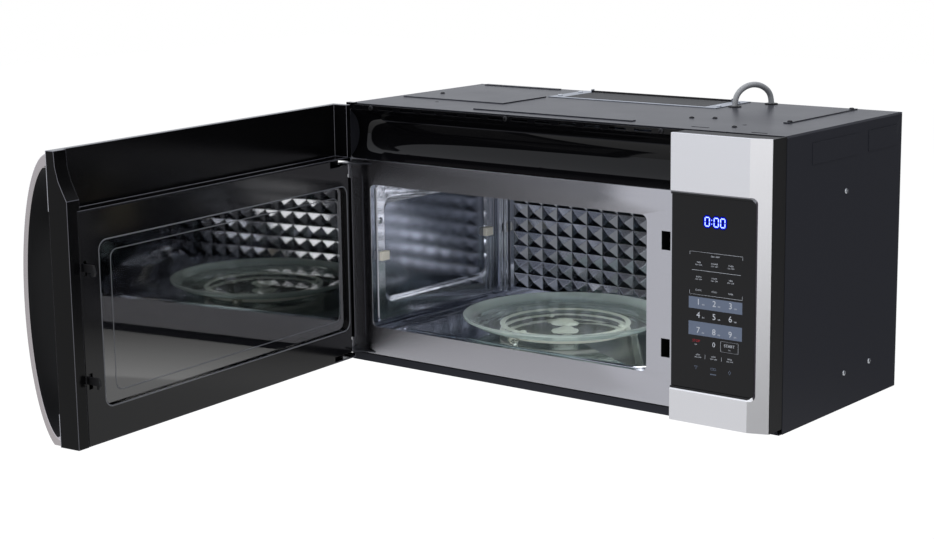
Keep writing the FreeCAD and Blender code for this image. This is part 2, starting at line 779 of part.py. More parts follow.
def make_cavity_liner():
    """Folded tube that forms the oven's floor, ceiling and side walls."""
    tube = cut("liner_tube", box("liner_block", (liner_left, liner_right), (face_back, oven_back),
                                 (liner_low, liner_high)),
               [box("liner_inside", (oven_left, oven_right), grown((face_back, oven_back), OVER),
                    (oven_low, oven_high))])
    wall = grown((oven_right, liner_right), OVER)
    ceiling = grown((oven_high, liner_high), OVER)
    tools = [
        rod("liner_shaft_hole", "z", (table_x, table_y), s.shaft_radius + 5, grown((liner_low, oven_low), OVER)),
        box("liner_wave_hole", wall, grown(wave_ys, -10), grown(wave_zs, -8)),
    ]
    for ring in range(4):
        for index in range(max(1, 6 * ring)):
            angle = 2 * math.pi * index / max(1, 6 * ring)
            y = hot_y + 14 * ring * math.cos(angle)
            z = oven_middle + 14 * ring * math.sin(angle)
            tools.append(rod(f"liner_air_{ring}_{index}", "x", (y, z), s.air_hole, wall))
    for column in range(4):
        for line in range(4):
            x = oven_lamp_x + s.hole_pitch * (column - 1.5)
            y = oven_lamp_y + s.hole_pitch * (line - 1.5)
            tools.append(rod(f"liner_light_{column}_{line}", "z", (x, y), s.lamp_hole, ceiling))
    keep("cavity_liner", cut("cavity_liner", tube, tools))


def make_cavity_back():
    """Rear wall with a grid of low pyramids, built as one closed skin."""
    wide, tall = s.stud_wide.number, s.stud_tall.number
    x0 = (oven_left + s.stud_margin).number
    z0 = (oven_low + s.stud_low).number
    columns = int((oven_right.number - x0) // wide)
    rows = int((oven_high.number - z0) // tall)
    near = oven_back.number
    far = near + s.liner_sheet.number
    tip = near - s.stud_high.number
    left, right, low, high = (plane.number for plane in (liner_left, liner_right, liner_low, liner_high))
    point = FreeCAD.Vector

    def face(points):
        return Part.Face(Part.makePolygon(points + points[:1]))

    faces = []
    for column in range(columns):
        for row in range(rows):
            ax, az = x0 + wide * column, z0 + tall * row
            corners = [point(ax, near, az), point(ax + wide, near, az),
                       point(ax + wide, near, az + tall), point(ax, near, az + tall)]
            top = point(ax + wide / 2, tip, az + tall / 2)
            for index in range(4):
                faces.append(face([corners[index], corners[(index + 1) % 4], top]))
    edge = [point(x0 + wide * index, near, z0) for index in range(columns)]
    edge += [point(x0 + wide * columns, near, z0 + tall * index) for index in range(rows)]
    edge += [point(x0 + wide * index, near, z0 + tall * rows) for index in range(columns, 0, -1)]
    edge += [point(x0, near, z0 + tall * index) for index in range(rows, 0, -1)]
    outer = [point(left, near, low), point(right, near, low), point(right, near, high), point(left, near, high)]
    margin = Part.Face([Part.makePolygon(outer + outer[:1]), Part.makePolygon(edge + edge[:1])])
    margin.validate()
    behind = [point(corner.x, far, corner.z) for corner in outer]
    faces += [margin, face(behind)]
    for index in range(4):
        after = (index + 1) % 4
        faces.append(face([outer[index], outer[after], behind[after], behind[index]]))
    solid = Part.Solid(Part.Shell(faces))
    if solid.Volume < 0:
        solid.reverse()
    item = doc.addObject("Part::Feature", "cavity_back")
    item.Shape = solid
    keep("cavity_back", item)


def make_rack_supports():
    """Four blocks that carry a rack, two on each side wall."""
    blocks = []
    z = oven_middle - s.rack_drop
    rows = {
        "front": (face_back + s.rack_in, face_back + s.rack_in + s.rack_wide),
        "rear": (oven_back - s.rack_back - s.rack_wide, oven_back - s.rack_back),
    }
    walls = {"left": (oven_left, oven_left + s.rack_proud), "right": (oven_right - s.rack_proud, oven_right)}
    for side, xs in walls.items():
        for name, ys in rows.items():
            blocks.append(box(f"rack_{side}_{name}", xs, ys, grown((z, z), s.rack_tall / 2)))
    keep("rack_supports", group("rack_supports", blocks))


# ---------------------------------------------------------------------------------------------------------
# Turntable
# ---------------------------------------------------------------------------------------------------------

table_x = (oven_left + oven_right) / 2
table_y = (face_back + oven_back - s.stud_high) / 2
tray_radius = (oven_back - s.stud_high - face_back) / 2 - s.tray_margin
axle_z = oven_low + s.seat_gap + s.roller_radius
tray_low = axle_z + s.roller_radius + s.seat_gap
hub_high = tray_low - s.seat_gap
table_motor_low = liner_low - s.table_motor_high


def make_turntable_motor():
    """Flat gear motor under the oven floor, with a bored shaft seat."""
    floor = table_motor_low + s.motor_floor
    parts = [
        rod("table_motor_can", "z", (table_x, table_y), s.table_motor_radius, (table_motor_low, liner_low)),
        box("table_motor_ears", grown((table_x, table_x), s.table_motor_radius + 9), grown((table_y, table_y), 7),
            (liner_low - 2, liner_low)),
        box("table_motor_plug", grown((table_x, table_x), 8),
            (table_y + s.table_motor_radius - 5, table_y + s.table_motor_radius + 11), (floor, floor + 10)),
    ]
    bore = rod("table_motor_bore", "z", (table_x, table_y), s.shaft_radius + s.running_gap,
               (floor, liner_low + OVER))
    keep("turntable_motor", cut("turntable_motor", fuse("table_motor_body", parts), [bore]))


def make_turntable_coupler():
    """Shaft and clear three-lobed hub that turns the tray."""
    hub_low = oven_low + s.hub_floor
    parts = [
        rod("coupler_shaft", "z", (table_x, table_y), s.shaft_radius,
            (table_motor_low + s.motor_floor + s.seat_gap, hub_low + LAP)),
        rod("coupler_hub", "z", (table_x, table_y), s.hub_radius, (hub_low, hub_high)),
    ]
    for index in range(3):
        lobe = doc.addObject("Part::Box", f"coupler_lobe_{index}")
        lobe.setExpression("Length", s.lobe_reach.formula)
        lobe.setExpression("Width", s.lobe_wide.formula)
        lobe.setExpression("Height", (hub_high - hub_low).formula)
        swing_round(lobe, 90 + 120 * index, ZERO, -s.lobe_wide / 2, hub_low)
        parts.append(lobe)
    keep("turntable_coupler", fuse("turntable_coupler", parts))


def swing_round(item, degrees, along, across, z):
    """Turn a block about the turntable's axis; along and across are its own corner's place."""
    cosine, sine = math.cos(math.radians(degrees)), math.sin(math.radians(degrees))
    turn = FreeCAD.Rotation(FreeCAD.Vector(0, 0, 1), degrees)
    return place(item, table_x + along * cosine - across * sine, table_y + along * sine + across * cosine, z,
                 rotation=turn)


def make_glass_tray():
    """Glass plate with a raised rim and three lugs between the hub's lobes."""
    glass, rim, lip, bowl = s.tray_glass, s.tray_rim, s.tray_lip, s.tray_bowl
    profile = [
        (0, 0), (tray_radius - bowl, 0), (tray_radius - bowl * 0.4, lip), (tray_radius, rim),
        (tray_radius, rim + lip), (tray_radius - lip, rim + lip), (tray_radius - bowl * 0.4 - lip, lip + glass),
        (tray_radius - bowl, glass), (0, glass),
    ]
    parts = [turned("tray_disc", profile, table_x, table_y, tray_low)]
    for index in range(3):
        lug = doc.addObject("Part::Box", f"tray_lug_{index}")
        lug.setExpression("Length", s.lug_side.formula)
        lug.setExpression("Width", s.lug_side.formula)
        lug.setExpression("Height", (s.lug_deep + LAP).formula)
        swing_round(lug, 30 + 120 * index, s.hub_radius + 2, -s.lug_side / 2, tray_low - s.lug_deep)
        parts.append(lug)
    keep("glass_tray", fuse("glass_tray", parts))


def aim_out(item, index, reach):
    """Lay a round piece along the radius of one roller, starting at the given distance."""
    degrees = 20 + 120 * index
    cosine, sine = math.cos(math.radians(degrees)), math.sin(math.radians(degrees))
    turn = FreeCAD.Rotation(FreeCAD.Vector(0, 0, 1), FreeCAD.Vector(cosine, sine, 0))
    return place(item, table_x + reach * cosine, table_y + reach * sine, axle_z, rotation=turn)


def radial_rod(name, index, radius, start, end):
    """A round bar along the radius of one roller."""
    item = doc.addObject("Part::Cylinder", name)
    item.setExpression("Radius", radius.formula)
    item.setExpression("Height", (end - start).formula)
    return aim_out(item, index, start)


def make_roller_ring():
    """Flat ring with three radial axles."""
    outer, thick = s.ring_radius, s.ring_thick
    inner = outer - s.ring_wide
    profile = [(inner, -thick / 2), (outer, -thick / 2), (outer, thick / 2), (inner, thick / 2)]
    parts = [turned("ring_body", profile, table_x, table_y, axle_z)]
    for index in range(3):
        parts.append(radial_rod(f"ring_axle_{index}", index, s.axle_radius, outer - s.ring_wide / 2,
                                s.roller_track + s.roller_wide / 2 + s.axle_end))
    keep("roller_ring", fuse("roller_ring", parts))


def make_rollers():
    """Three small wheels on the ring's axles."""
    start = s.roller_track - s.roller_wide / 2
    end = s.roller_track + s.roller_wide / 2
    for index in range(3):
        name = f"roller_{index + 1}"
        wheel = radial_rod(name + "_wheel", index, s.roller_radius, start, end)
        bore = radial_rod(name + "_bore", index, s.axle_radius + s.running_gap, start - OVER, end + OVER)
        keep(name, cut(name, wheel, [bore]))


# ---------------------------------------------------------------------------------------------------------
# Control side
# ---------------------------------------------------------------------------------------------------------

skin_back = front + s.fascia_sheet
glass_front = front + s.glass_recess
glass_back = glass_front + s.glass_thick
carrier_back = glass_back + s.seat_gap + s.housing_wall
fold_end = front + s.fold_depth
fold_back = fold_end + s.fascia_sheet
board_front = carrier_back + s.board_standoff
board_back = board_front + s.board_thick
display_xs = (fascia_left + s.display_in, fascia_left + s.display_in + s.display_wide)
display_zs = (control_glass_high - s.display_drop - s.display_tall, control_glass_high - s.display_drop)
board_xs = (fascia_left + s.board_margin, fold_line)
board_zs = (s.control_glass_low + s.board_margin, control_glass_high - s.board_margin)


def make_control_fascia():
    """Brushed steel sheet with a folded right edge and a window for the glass."""
    outline = [
        (fascia_left, front), (fold_line, front), (fascia_right, fold_end),
        (fascia_right, fold_back), (fold_line, skin_back), (fascia_left, skin_back),
    ]
    skin = pad("fascia_skin", "z", outline, (s.front_low, s.height))
    window = box("fascia_window", (fascia_left - OVER, control_glass_right), (front - OVER, fold_back + OVER),
                 (s.control_glass_low, control_glass_high))
    keep("control_fascia", cut("control_fascia", skin, [window]))


def make_control_housing():
    """Black plastic box behind the fascia; its right wall shows at the cabinet's side."""
    wall = s.housing_wall
    left = fascia_left + s.seat_gap
    right = half - LAP
    back = face_front - s.seat_gap
    outline = [
        (left, skin_back), (fold_line, skin_back), (fascia_right, fold_back), (right, fold_back),
        (right, wrap_front - s.seat_gap), (right - s.housing_lip, wrap_front - s.seat_gap),
        (right - s.housing_lip, back), (left, back),
    ]
    low, high = s.front_low + s.seat_gap, s.height - s.seat_gap
    block = pad("housing_block", "z", outline, (low, high))
    tools = [
        box("housing_hollow", (left + wall, right - s.housing_lip - wall), (carrier_back, back + OVER),
            (low + wall, high - wall)),
        box("housing_pocket", (fascia_left - OVER, control_glass_right + s.seat_gap),
            (front - OVER, glass_back + s.seat_gap), (s.control_glass_low, control_glass_high)),
        box("housing_display", display_xs, grown((glass_back, carrier_back), OVER), display_zs),
    ]
    parts = [cut("housing_shell", block, tools)]
    for x in grown(board_xs, -6):
        for z in grown(board_zs, -8):
            parts.append(rod(f"board_post_{len(parts)}", "y", (x, z), s.post_radius,
                             (carrier_back - LAP, board_front)))
    keep("control_housing", fuse("control_housing", parts))


def make_control_glass():
    """Black touch glass with two rounded corners on the right."""
    zs = (s.control_glass_low + s.seat_gap, control_glass_high - s.seat_gap)
    left, right = fascia_left + OVER, control_glass_right - s.seat_gap
    ys = (glass_front, glass_back)
    plate = round_block("control_glass_round", "y", (left, right), ys, zs, s.glass_round)
    square = box("control_glass_left", (left, right - 2 * s.glass_round), ys, zs)
    keep("control_glass", fuse("control_glass", [plate, square]))


def make_display_and_board():
    """Numeric display, and the circuit board with its larger parts."""
    keep("display_module", box("display_module", grown(display_xs, 3), (carrier_back, board_front - 3),
                               grown(display_zs, 3)))
    parts = [box("board_sheet", board_xs, (board_front, board_back), board_zs)]
    left, low = board_xs[0], board_zs[0]
    chips = {
        "relay_1": (12, 30, 26, 51, 10), "relay_2": (36, 54, 26, 51, 10), "transformer": (62, 97, 21, 56, 11),
        "chip": (42, 62, 116, 136, 3), "plug": (12, 62, 176, 188, 9),
    }
    for name, (x_from, x_to, z_from, z_to, tall) in chips.items():
        parts.append(box("board_" + name, (left + x_from, left + x_to), (board_back - LAP, board_back + tall),
                         (low + z_from, low + z_to)))
    keep("control_board", fuse("control_board", parts))


# ---------------------------------------------------------------------------------------------------------
# Latch in the cabinet
# ---------------------------------------------------------------------------------------------------------

def make_latch_body():
    """Plastic block behind the latch slots, with a chamber for each hook, and its three switches."""
    rim = s.slot_tall
    right = hook_x + 17
    block = box("latch_block", (hook_x - 13, right), (face_back, face_back + s.latch_deep),
                (hook_low - rim, hook_high + rim))
    tools = []
    for name, z in HOOKS:
        tools.append(box(f"latch_room_{name}", grown((hook_x, hook_x), s.slot_wide / 2),
                         (face_back - OVER, face_back + s.latch_deep - 6), grown((z, z), s.slot_tall / 2 + 2)))
    tools.append(box("latch_lightening", (hook_x - 9, right - 4), (face_back + 8, face_back + s.latch_deep - 4),
                     (hook_low + rim + 4, hook_high - rim - 4)))
    keep("latch_body", cut("latch_body", block, tools))
    switches = []
    back = face_back + s.latch_deep
    for index, z in enumerate((hook_low, (hook_low + hook_high) / 2, hook_high)):
        switches.append(fuse(f"switch_{index}", [
            box(f"switch_case_{index}", (right, right + 10), (back - 28, back), grown((z, z), 8)),
            box(f"switch_tabs_{index}", (right + 3, right + 7), (back - LAP, back + 7), grown((z, z), 5)),
        ]))
    keep("interlock_switches", group("interlock_switches", switches))


# ---------------------------------------------------------------------------------------------------------
# Power parts in the right bay
# ---------------------------------------------------------------------------------------------------------

wave_ys = (face_back + s.wave_in, face_back + s.wave_in + s.wave_long)
wave_zs = (oven_middle - s.wave_drop, oven_middle - s.wave_drop + s.wave_tall)
wave_right = liner_right + s.wave_deep
wave_y = (wave_ys[0] + wave_ys[1]) / 2
wave_z = (wave_zs[0] + wave_zs[1]) / 2


def make_waveguide_and_cover():
    """Sheet duct on the oven's right wall, and the mica sheet over its mouth."""
    sheet_in = -s.wave_sheet
    tools = [
        box("wave_inside", (liner_right - OVER, wave_right - s.wave_sheet), grown(wave_ys, sheet_in),
            grown(wave_zs, sheet_in)),
        rod("wave_hole", "x", (wave_y, wave_z), s.antenna_radius + 5, grown((wave_right, wave_right), 2 * OVER)),
    ]
    keep("waveguide", cut("waveguide", box("wave_block", (liner_right, wave_right), wave_ys, wave_zs), tools))
    keep("waveguide_cover", box("waveguide_cover", (oven_right - s.mica_thick, oven_right),
                                grown(wave_ys, -4), grown(wave_zs, -3)))


def make_magnetron():
    """Magnetron: steel frame, cooling fins round the core, filter box and antenna."""
    start, end = wave_right, wave_right + s.tube_long
    ys = grown((wave_y, wave_y), s.tube_wide / 2)
    zs = grown((wave_z, wave_z), s.tube_tall / 2)
    wall = s.tube_frame
    frame = cut("magnetron_frame", box("magnetron_block", (start, end), ys, zs),
                [box("magnetron_inside", grown((start, end), -wall), grown(ys, OVER), grown(zs, -wall))])
    parts = [frame, rod("magnetron_core", "x", (wave_y, wave_z), s.tube_core, grown((start, end), -LAP))]
    for index in range(8):
        x = start + 11 + s.tube_fin_pitch * index
        parts.append(box(f"magnetron_fin_{index}", (x, x + s.tube_fin), grown(ys, -wall), grown(zs, -wall + LAP)))
    parts.append(box("magnetron_filter", (end - LAP, end + s.tube_box), grown(ys, -16), grown(zs, -14)))
    parts.append(rod("magnetron_antenna", "x", (wave_y, wave_z), s.antenna_radius,
                     (start - s.antenna_long, start + wall)))
    keep("magnetron", fuse("magnetron", parts))


def make_power_parts():
    """High voltage transformer, capacitor and mains filter on the base plate."""
    floor = s.base_sheet
    xs = (inside - s.core_right - s.core_wide, inside - s.core_right)
    ys = (-s.core_back - s.core_deep, -s.core_back)
    parts = [box("core_stack", xs, ys, (floor, floor + s.core_tall))]
    for index in range(2):
        low = floor + 12 + (s.coil_tall + 4) * index
        parts.append(round_block(f"coil_{index}", "z", grown(xs, -s.coil_in), grown(ys, s.coil_over),
                                 (low, low + s.coil_tall), 10))
    keep("hv_transformer", fuse("hv_transformer", parts))
    xs = (liner_right + s.can_left, liner_right + s.can_left + s.can_wide)
    ys = (-s.can_back - s.can_deep, -s.can_back)
    top = floor + s.can_tall
    parts = [round_block("capacitor_can", "z", xs, ys, (floor, top), 14)]
    for name, y in (("front", ys[0] + 22), ("rear", ys[1] - 34)):
        parts.append(box(f"capacitor_tab_{name}", grown(xs, -14), (y, y + 12), (top - LAP, top + 8)))
    keep("hv_capacitor", fuse("hv_capacitor", parts))
    xs = (inside - s.mains_right - s.mains_wide, inside - s.mains_right)
    ys = (rear_in - s.mains_back - s.mains_deep, rear_in - s.mains_back)
    shelf = floor + s.mains_leg
    parts = [
        box("mains_board", xs, ys, (shelf, shelf + 2)),
        rod("mains_choke", "z", (xs[0] + 26, (ys[0] + ys[1]) / 2), 14, (shelf + 1, shelf + 19)),
        box("mains_box", (xs[1] - 32, xs[1] - 8), grown(ys, -14), (shelf + 1, shelf + 17)),
    ]
    for x in grown(xs, -6):
        for y in grown(ys, -6):
            parts.append(rod(f"mains_leg_{len(parts)}", "z", (x, y), 3, (floor, shelf + LAP)))
    keep("noise_filter", fuse("noise_filter", parts))


# ---------------------------------------------------------------------------------------------------------
# Fans
# ---------------------------------------------------------------------------------------------------------

blower_y = outlet_back + 3 - s.blower_deep / 2
blower_floor = liner_high + s.blower_strap
blower_z = blower_floor + s.wheel_rise
blower_left = outlet_left - s.blower_over
blower_right = outlet_right + s.blower_over
blower_top = under_top - s.seat_gap
SCROLLS = {
    "left": (blower_left, blower_left + s.scroll_wide),
    "right": (blower_right - s.scroll_wide, blower_right),
}


def make_vent_blower():
    """Double blower above the oven: housing with two scrolls, motor between them, two wheels on a shaft."""
    ys = grown((blower_y, blower_y), s.blower_deep / 2)
    line = (blower_y, blower_z)
    parts = [box("blower_strap_body", (blower_left, blower_right), ys, (liner_high, blower_floor))]
    tools = []
    wheels = [rod("blower_shaft", "x", line, s.shaft_radius, grown((blower_left, blower_right), -10))]
    for name, span in SCROLLS.items():
        parts.append(box(f"scroll_{name}", span, ys, (liner_high, blower_top)))
        tools.append(box(f"scroll_room_{name}", grown(span, -s.scroll_sheet), grown(ys, -s.scroll_sheet),
                         (blower_floor, blower_top + OVER)))
        tools.append(rod(f"scroll_inlet_{name}", "x", line, s.inlet_radius, grown(span, OVER)))
        middle = (span[0] + span[1]) / 2
        inner = s.wheel_radius - s.wheel_wall
        rim = grown(span, -s.wheel_gap)
        wheels.append(cut(f"wheel_{name}", rod(f"wheel_rim_{name}", "x", line, s.wheel_radius, rim), [
            rod(f"wheel_left_{name}", "x", line, inner, (rim[0] - OVER, middle - s.wheel_disc / 2)),
            rod(f"wheel_right_{name}", "x", line, inner, (middle + s.wheel_disc / 2, rim[1] + OVER)),
        ]))
    keep("vent_blower_housing", cut("vent_blower_housing", fuse("blower_shell", parts), tools))
    keep("vent_blower_wheels", fuse("vent_blower_wheels", wheels))
    middle = (blower_left + blower_right) / 2
    span = grown((SCROLLS["left"][1], SCROLLS["right"][0]), -s.vent_motor_gap)
    can = rod("blower_motor_can", "x", line, s.vent_motor_radius, span)
    foot = box("blower_motor_foot", grown((middle, middle), 20), grown((blower_y, blower_y), 22),
               (blower_floor, blower_z))
    bore = rod("blower_motor_bore", "x", line, s.shaft_radius + s.running_gap, grown(span, OVER))
    keep("vent_blower_motor", cut("vent_blower_motor", fuse("blower_motor_body", [can, foot]), [bore]))


def fan_wheel(name, axis, line, span, hub, tip, count, lean):
    """Hub with flat blades set at an angle, along the X or the Y axis."""
    parts = [rod(name + "_hub", axis, line, hub, span)]
    middle = (span[0] + span[1]) / 2
    centre = {"x": (middle, line[0], line[1]), "y": (line[0], middle, line[1])}[axis]
    deep = span[1] - span[0] - 4
    for index in range(count):
        blade = doc.addObject("Part::Box", f"{name}_blade_{index}")
        blade.setExpression("Length", tip.formula)
        blade.setExpression("Width", s.blade_thick.formula)
        blade.setExpression("Height", deep.formula)
        spin = FreeCAD.Rotation(FreeCAD.Vector(0, 0, 1), 360 * index / count)
        slant = FreeCAD.Rotation(FreeCAD.Vector(1, 0, 0), lean)
        turn = TURNS[axis].multiply(spin).multiply(slant)
        across = turn.multVec(FreeCAD.Vector(0, 1, 0))
        up = turn.multVec(FreeCAD.Vector(0, 0, 1))
        corner = [spot - s.blade_thick / 2 * across[k] - deep / 2 * up[k] for k, spot in enumerate(centre)]
        parts.append(place(blade, *corner, rotation=turn))
    return parts


cool_x = inside - s.fan_in - s.fan_size / 2
cool_z = oven_middle
cool_ys = (rear_in - s.fan_stand - s.fan_deep, rear_in - s.fan_stand)


def make_cooling_fan():
    """Axial fan at the rear of the right bay, carried by the rear panel."""
    line = (cool_x, cool_z)
    square_x = grown((cool_x, cool_x), s.fan_size / 2)
    square_z = grown((cool_z, cool_z), s.fan_size / 2)
    parts = [cut("fan_frame_ring", box("fan_frame_block", square_x, cool_ys, square_z),
                 [rod("fan_frame_bore", "y", line, s.fan_bore, grown(cool_ys, OVER))])]
    for x in grown(square_x, -6):
        for z in grown(square_z, -6):
            parts.append(rod(f"fan_post_{len(parts)}", "y", (x, z), 4, (cool_ys[1] - LAP, rear_in)))
    keep("cooling_fan_housing", fuse("cooling_fan_housing", parts))
    motor_front = cool_ys[1] + 2
    bore_back = rear_in - 5
    motor = rod("fan_motor_can", "y", line, 20, (motor_front, rear_in))
    bore = rod("fan_motor_bore", "y", line, s.fan_shaft + s.running_gap, (motor_front - OVER, bore_back))
    keep("cooling_fan_motor", cut("cooling_fan_motor", motor, [bore]))
    parts = fan_wheel("cool_fan", "y", line, grown(cool_ys, -3), s.fan_hub, s.fan_tip, 5, 38)
    parts.append(rod("cool_fan_shaft", "y", line, s.fan_shaft, (cool_ys[1] - 4, bore_back - LAP)))
    keep("cooling_fan_blade", fuse("cooling_fan_blade", parts))


hot_y = oven_back - s.hot_back
hot_right = liner_right + s.hot_deep
hot_half = (oven_high - oven_low) / 2 - s.hot_margin
heater_ring = hot_half - s.heater_in
hot_tip = heater_ring - s.hot_tip_in


def make_convection():
    """Hot air unit on the oven's right wall: housing, ring heater, fan and motor."""
    line = (hot_y, oven_middle)
    ys = grown((hot_y, hot_y), hot_half)
    zs = grown((oven_middle, oven_middle), hot_half)
    heater_x = liner_right + s.hot_deep / 2
    leads = [(y, oven_middle + heater_ring) for y in grown((hot_y, hot_y), s.lead_pitch / 2)]
    wall = grown((hot_right - s.hot_sheet, hot_right), OVER)
    tools = [
        box("hot_room", (liner_right - OVER, hot_right - s.hot_sheet), grown(ys, -s.hot_sheet),
            grown(zs, -s.hot_sheet)),
        rod("hot_shaft_hole", "x", line, s.hot_shaft + 2, wall),
    ]
    ring = doc.addObject("Part::Torus", "heater_ring")
    ring.setExpression("Radius1", heater_ring.formula)
    ring.setExpression("Radius2", s.heater_tube.formula)
    parts = [place(ring, heater_x, *line, rotation=TURNS["x"])]
    for index, spot in enumerate(leads):
        tools.append(rod(f"hot_lead_hole_{index}", "x", spot, s.heater_lead + s.seat_gap, wall))
        parts.append(rod(f"heater_lead_{index}", "x", spot, s.heater_lead, (heater_x, hot_right + 8)))
    keep("convection_housing", cut("convection_housing", box("hot_block", (liner_right, hot_right), ys, zs), tools))
    keep("convection_heater", fuse("convection_heater", parts))
    motor = rod("hot_motor_can", "x", line, s.hot_motor_radius, (hot_right, hot_right + s.hot_motor_long))
    bore_end = hot_right + s.hot_motor_long - 9
    bore = rod("hot_motor_bore", "x", line, s.hot_shaft + s.running_gap, (hot_right - OVER, bore_end))
    keep("convection_motor", cut("convection_motor", motor, [bore]))
    hub = (liner_right + 8, hot_right - 16)
    parts = fan_wheel("hot_fan", "x", line, hub, s.hot_hub, hot_tip, 6, 90)
    parts.append(rod("hot_fan_shaft", "x", line, s.hot_shaft, (hub[1] - LAP, bore_end - LAP)))
    keep("convection_fan", fuse("convection_fan", parts))


# ---------------------------------------------------------------------------------------------------------
# Exhaust, filters and lamps
# ---------------------------------------------------------------------------------------------------------

def make_exhaust():
    """Zinc coated adapter on the top and the flap in its outlet."""
    flap_y = outlet_back - s.ledge - LAP
    flap_low = s.height + s.seat_gap
    pin_z = flap_low + s.damper_sheet + s.damper_pin + 0.1
    through = grown((s.height, adapter_top), OVER)
    parts = [box("adapter_plate", (adapter_left, adapter_right), grown((outlet_front, outlet_back), s.adapter_side),
                 (s.height, adapter_top))]
    tools = [box("adapter_outlet", (outlet_left, outlet_right), (outlet_front, outlet_back), through)]
    for index, spot in enumerate(ADAPTER_SCREWS):
        tools.append(rod(f"adapter_hole_{index}", "z", spot, s.screw_radius + s.hole_gap, through))
    ear = s.adapter_sheet * 1.2
    for side, xs in (("left", (outlet_left - ear, outlet_left)), ("right", (outlet_right, outlet_right + ear))):
        parts.append(box(f"adapter_ear_{side}", xs, grown((flap_y, flap_y), 4), (s.height, pin_z + 3)))
        tools.append(rod(f"adapter_ear_hole_{side}", "x", (flap_y, pin_z), s.damper_pin + s.running_gap,
                         grown(xs, OVER)))
    keep("exhaust_adapter", cut("exhaust_adapter", fuse("adapter_body", parts), tools))
    sheet_xs = grown((outlet_left, outlet_right), -1)
    parts = [
        box("flap_sheet", sheet_xs, (outlet_front + 1.5, flap_y), (flap_low, flap_low + s.damper_sheet)),
        box("flap_web", sheet_xs, (flap_y - 1, flap_y), (flap_low, pin_z)),
        rod("flap_pin", "x", (flap_y, pin_z), s.damper_pin, grown((outlet_left, outlet_right), 1)),
    ]
    keep("exhaust_damper", fuse("exhaust_damper", parts))


def make_filters():
    """Two grease filters in the underside and the charcoal filter behind the air guide."""
    low = s.seat_gap
    for side in ("left", "right"):
        xs = mirrored(side, s.filter_inner, liner_right - s.filter_outer)
        block = box(f"grease_block_{side}", xs, filter_ys, (low, low + s.filter_thick))
        dish = box(f"grease_dish_{side}", grown(xs, -s.filter_rim), grown(filter_ys, -s.filter_rim),
                   (low - OVER, low + s.filter_thick / 4))
        keep(f"grease_filter_{side}", cut(f"grease_filter_{side}", block, [dish]))
    low = liner_high + s.seat_gap
    y = wrap_front + s.charcoal_in
    keep("charcoal_filter", box("charcoal_filter", (oven_left + s.charcoal_left, oven_lamp_xs[0] - s.charcoal_gap),
                                (y, y + s.charcoal_thick), (low, low + s.charcoal_tall)))


oven_lamp_x = oven_right - s.oven_lamp_in
oven_lamp_y = face_back + s.oven_lamp_back
oven_lamp_xs = grown((oven_lamp_x, oven_lamp_x), s.oven_lamp_wide / 2)


def make_lamps():
    """Cooktop lamp with its hinged glass, and the oven lamp on the ceiling."""
    keep("lamp_cover", fuse("lamp_cover", [
        box("lamp_pane", grown((-lamp_half, lamp_half), -s.lamp_slack), (lamp_y - s.lamp_deep, lamp_y + s.lamp_pin),
            (s.seat_gap, lamp_axis_z)),
        rod("lamp_pane_pin", "x", (lamp_y, lamp_axis_z), s.lamp_pin, grown((-lamp_half, lamp_half), 3.5)),
    ]))
    floor = s.base_sheet
    ys = (lamp_y - s.lamp_deep - 8, lamp_y + 6)
    shade_x = lamp_half + 12
    shade = cut("lamp_shade", box("lamp_shade_block", (-shade_x, shade_x), ys, (floor, floor + s.lamp_box)),
                [box("lamp_shade_room", grown((-shade_x, shade_x), -1), grown(ys, -1),
                     (floor - OVER, floor + s.lamp_box - 1))])
    line = (lamp_y - s.lamp_deep / 2, floor + s.lamp_box - 12)
    socket_end = -shade_x + 24
    keep("cooktop_lamp", fuse("cooktop_lamp", [
        shade,
        rod("lamp_socket", "x", line, s.bulb_radius - 1, (-shade_x + LAP, socket_end)),
        rod("lamp_bulb", "x", line, s.bulb_radius, (socket_end - OVER, socket_end + 76)),
    ]))
    xs = oven_lamp_xs
    ys = grown((oven_lamp_y, oven_lamp_y), s.oven_lamp_box / 2)
    top = liner_high + s.oven_lamp_box
    shade = cut("oven_lamp_shade", box("oven_lamp_block", xs, ys, (liner_high, top)),
                [box("oven_lamp_room", grown(xs, -1), grown(ys, -1), (liner_high - OVER, top - 1))])
    bulb = rod("oven_lamp_bulb", "z", (oven_lamp_x, oven_lamp_y), s.bulb_radius, (liner_high + 10, top - LAP))
    keep("cavity_lamp", fuse("cavity_lamp", [shade, bulb]))


# ---------------------------------------------------------------------------------------------------------
# Screws and cord
# ---------------------------------------------------------------------------------------------------------

def make_screws():
    """Equal screws on the top, the side walls, the adapter and the trim."""
    screws = []

    def screw(axis, across, face, sign):
        """One screw: its head lies outside the face, its shank goes in."""
        name = f"screw_{len(screws)}"
        head = (face, face + s.screw_head_high) if sign > 0 else (face - s.screw_head_high, face)
        shank = (face - s.screw_long, face + LAP) if sign > 0 else (face - LAP, face + s.screw_long)
        screws.append(fuse(name, [rod(name + "_head", axis, across, s.screw_head, head),
                                  rod(name + "_shank", axis, across, s.screw_radius, shank)]))

    for spot in TOP_SCREWS:
        screw("z", spot, s.height, 1)
    for spot in RIB_SCREWS:
        screw("z", spot, s.height + s.rib_high, 1)
    for spot in ADAPTER_SCREWS:
        screw("z", spot, adapter_top, 1)
    for spot in SIDE_SCREWS:
        screw("x", spot, -half, -1)
        screw("x", spot, half, 1)
    for spot in TRIM_SCREWS:
        screw("y", spot, trim_front, -1)
    keep("cabinet_screws", group("cabinet_screws", screws))


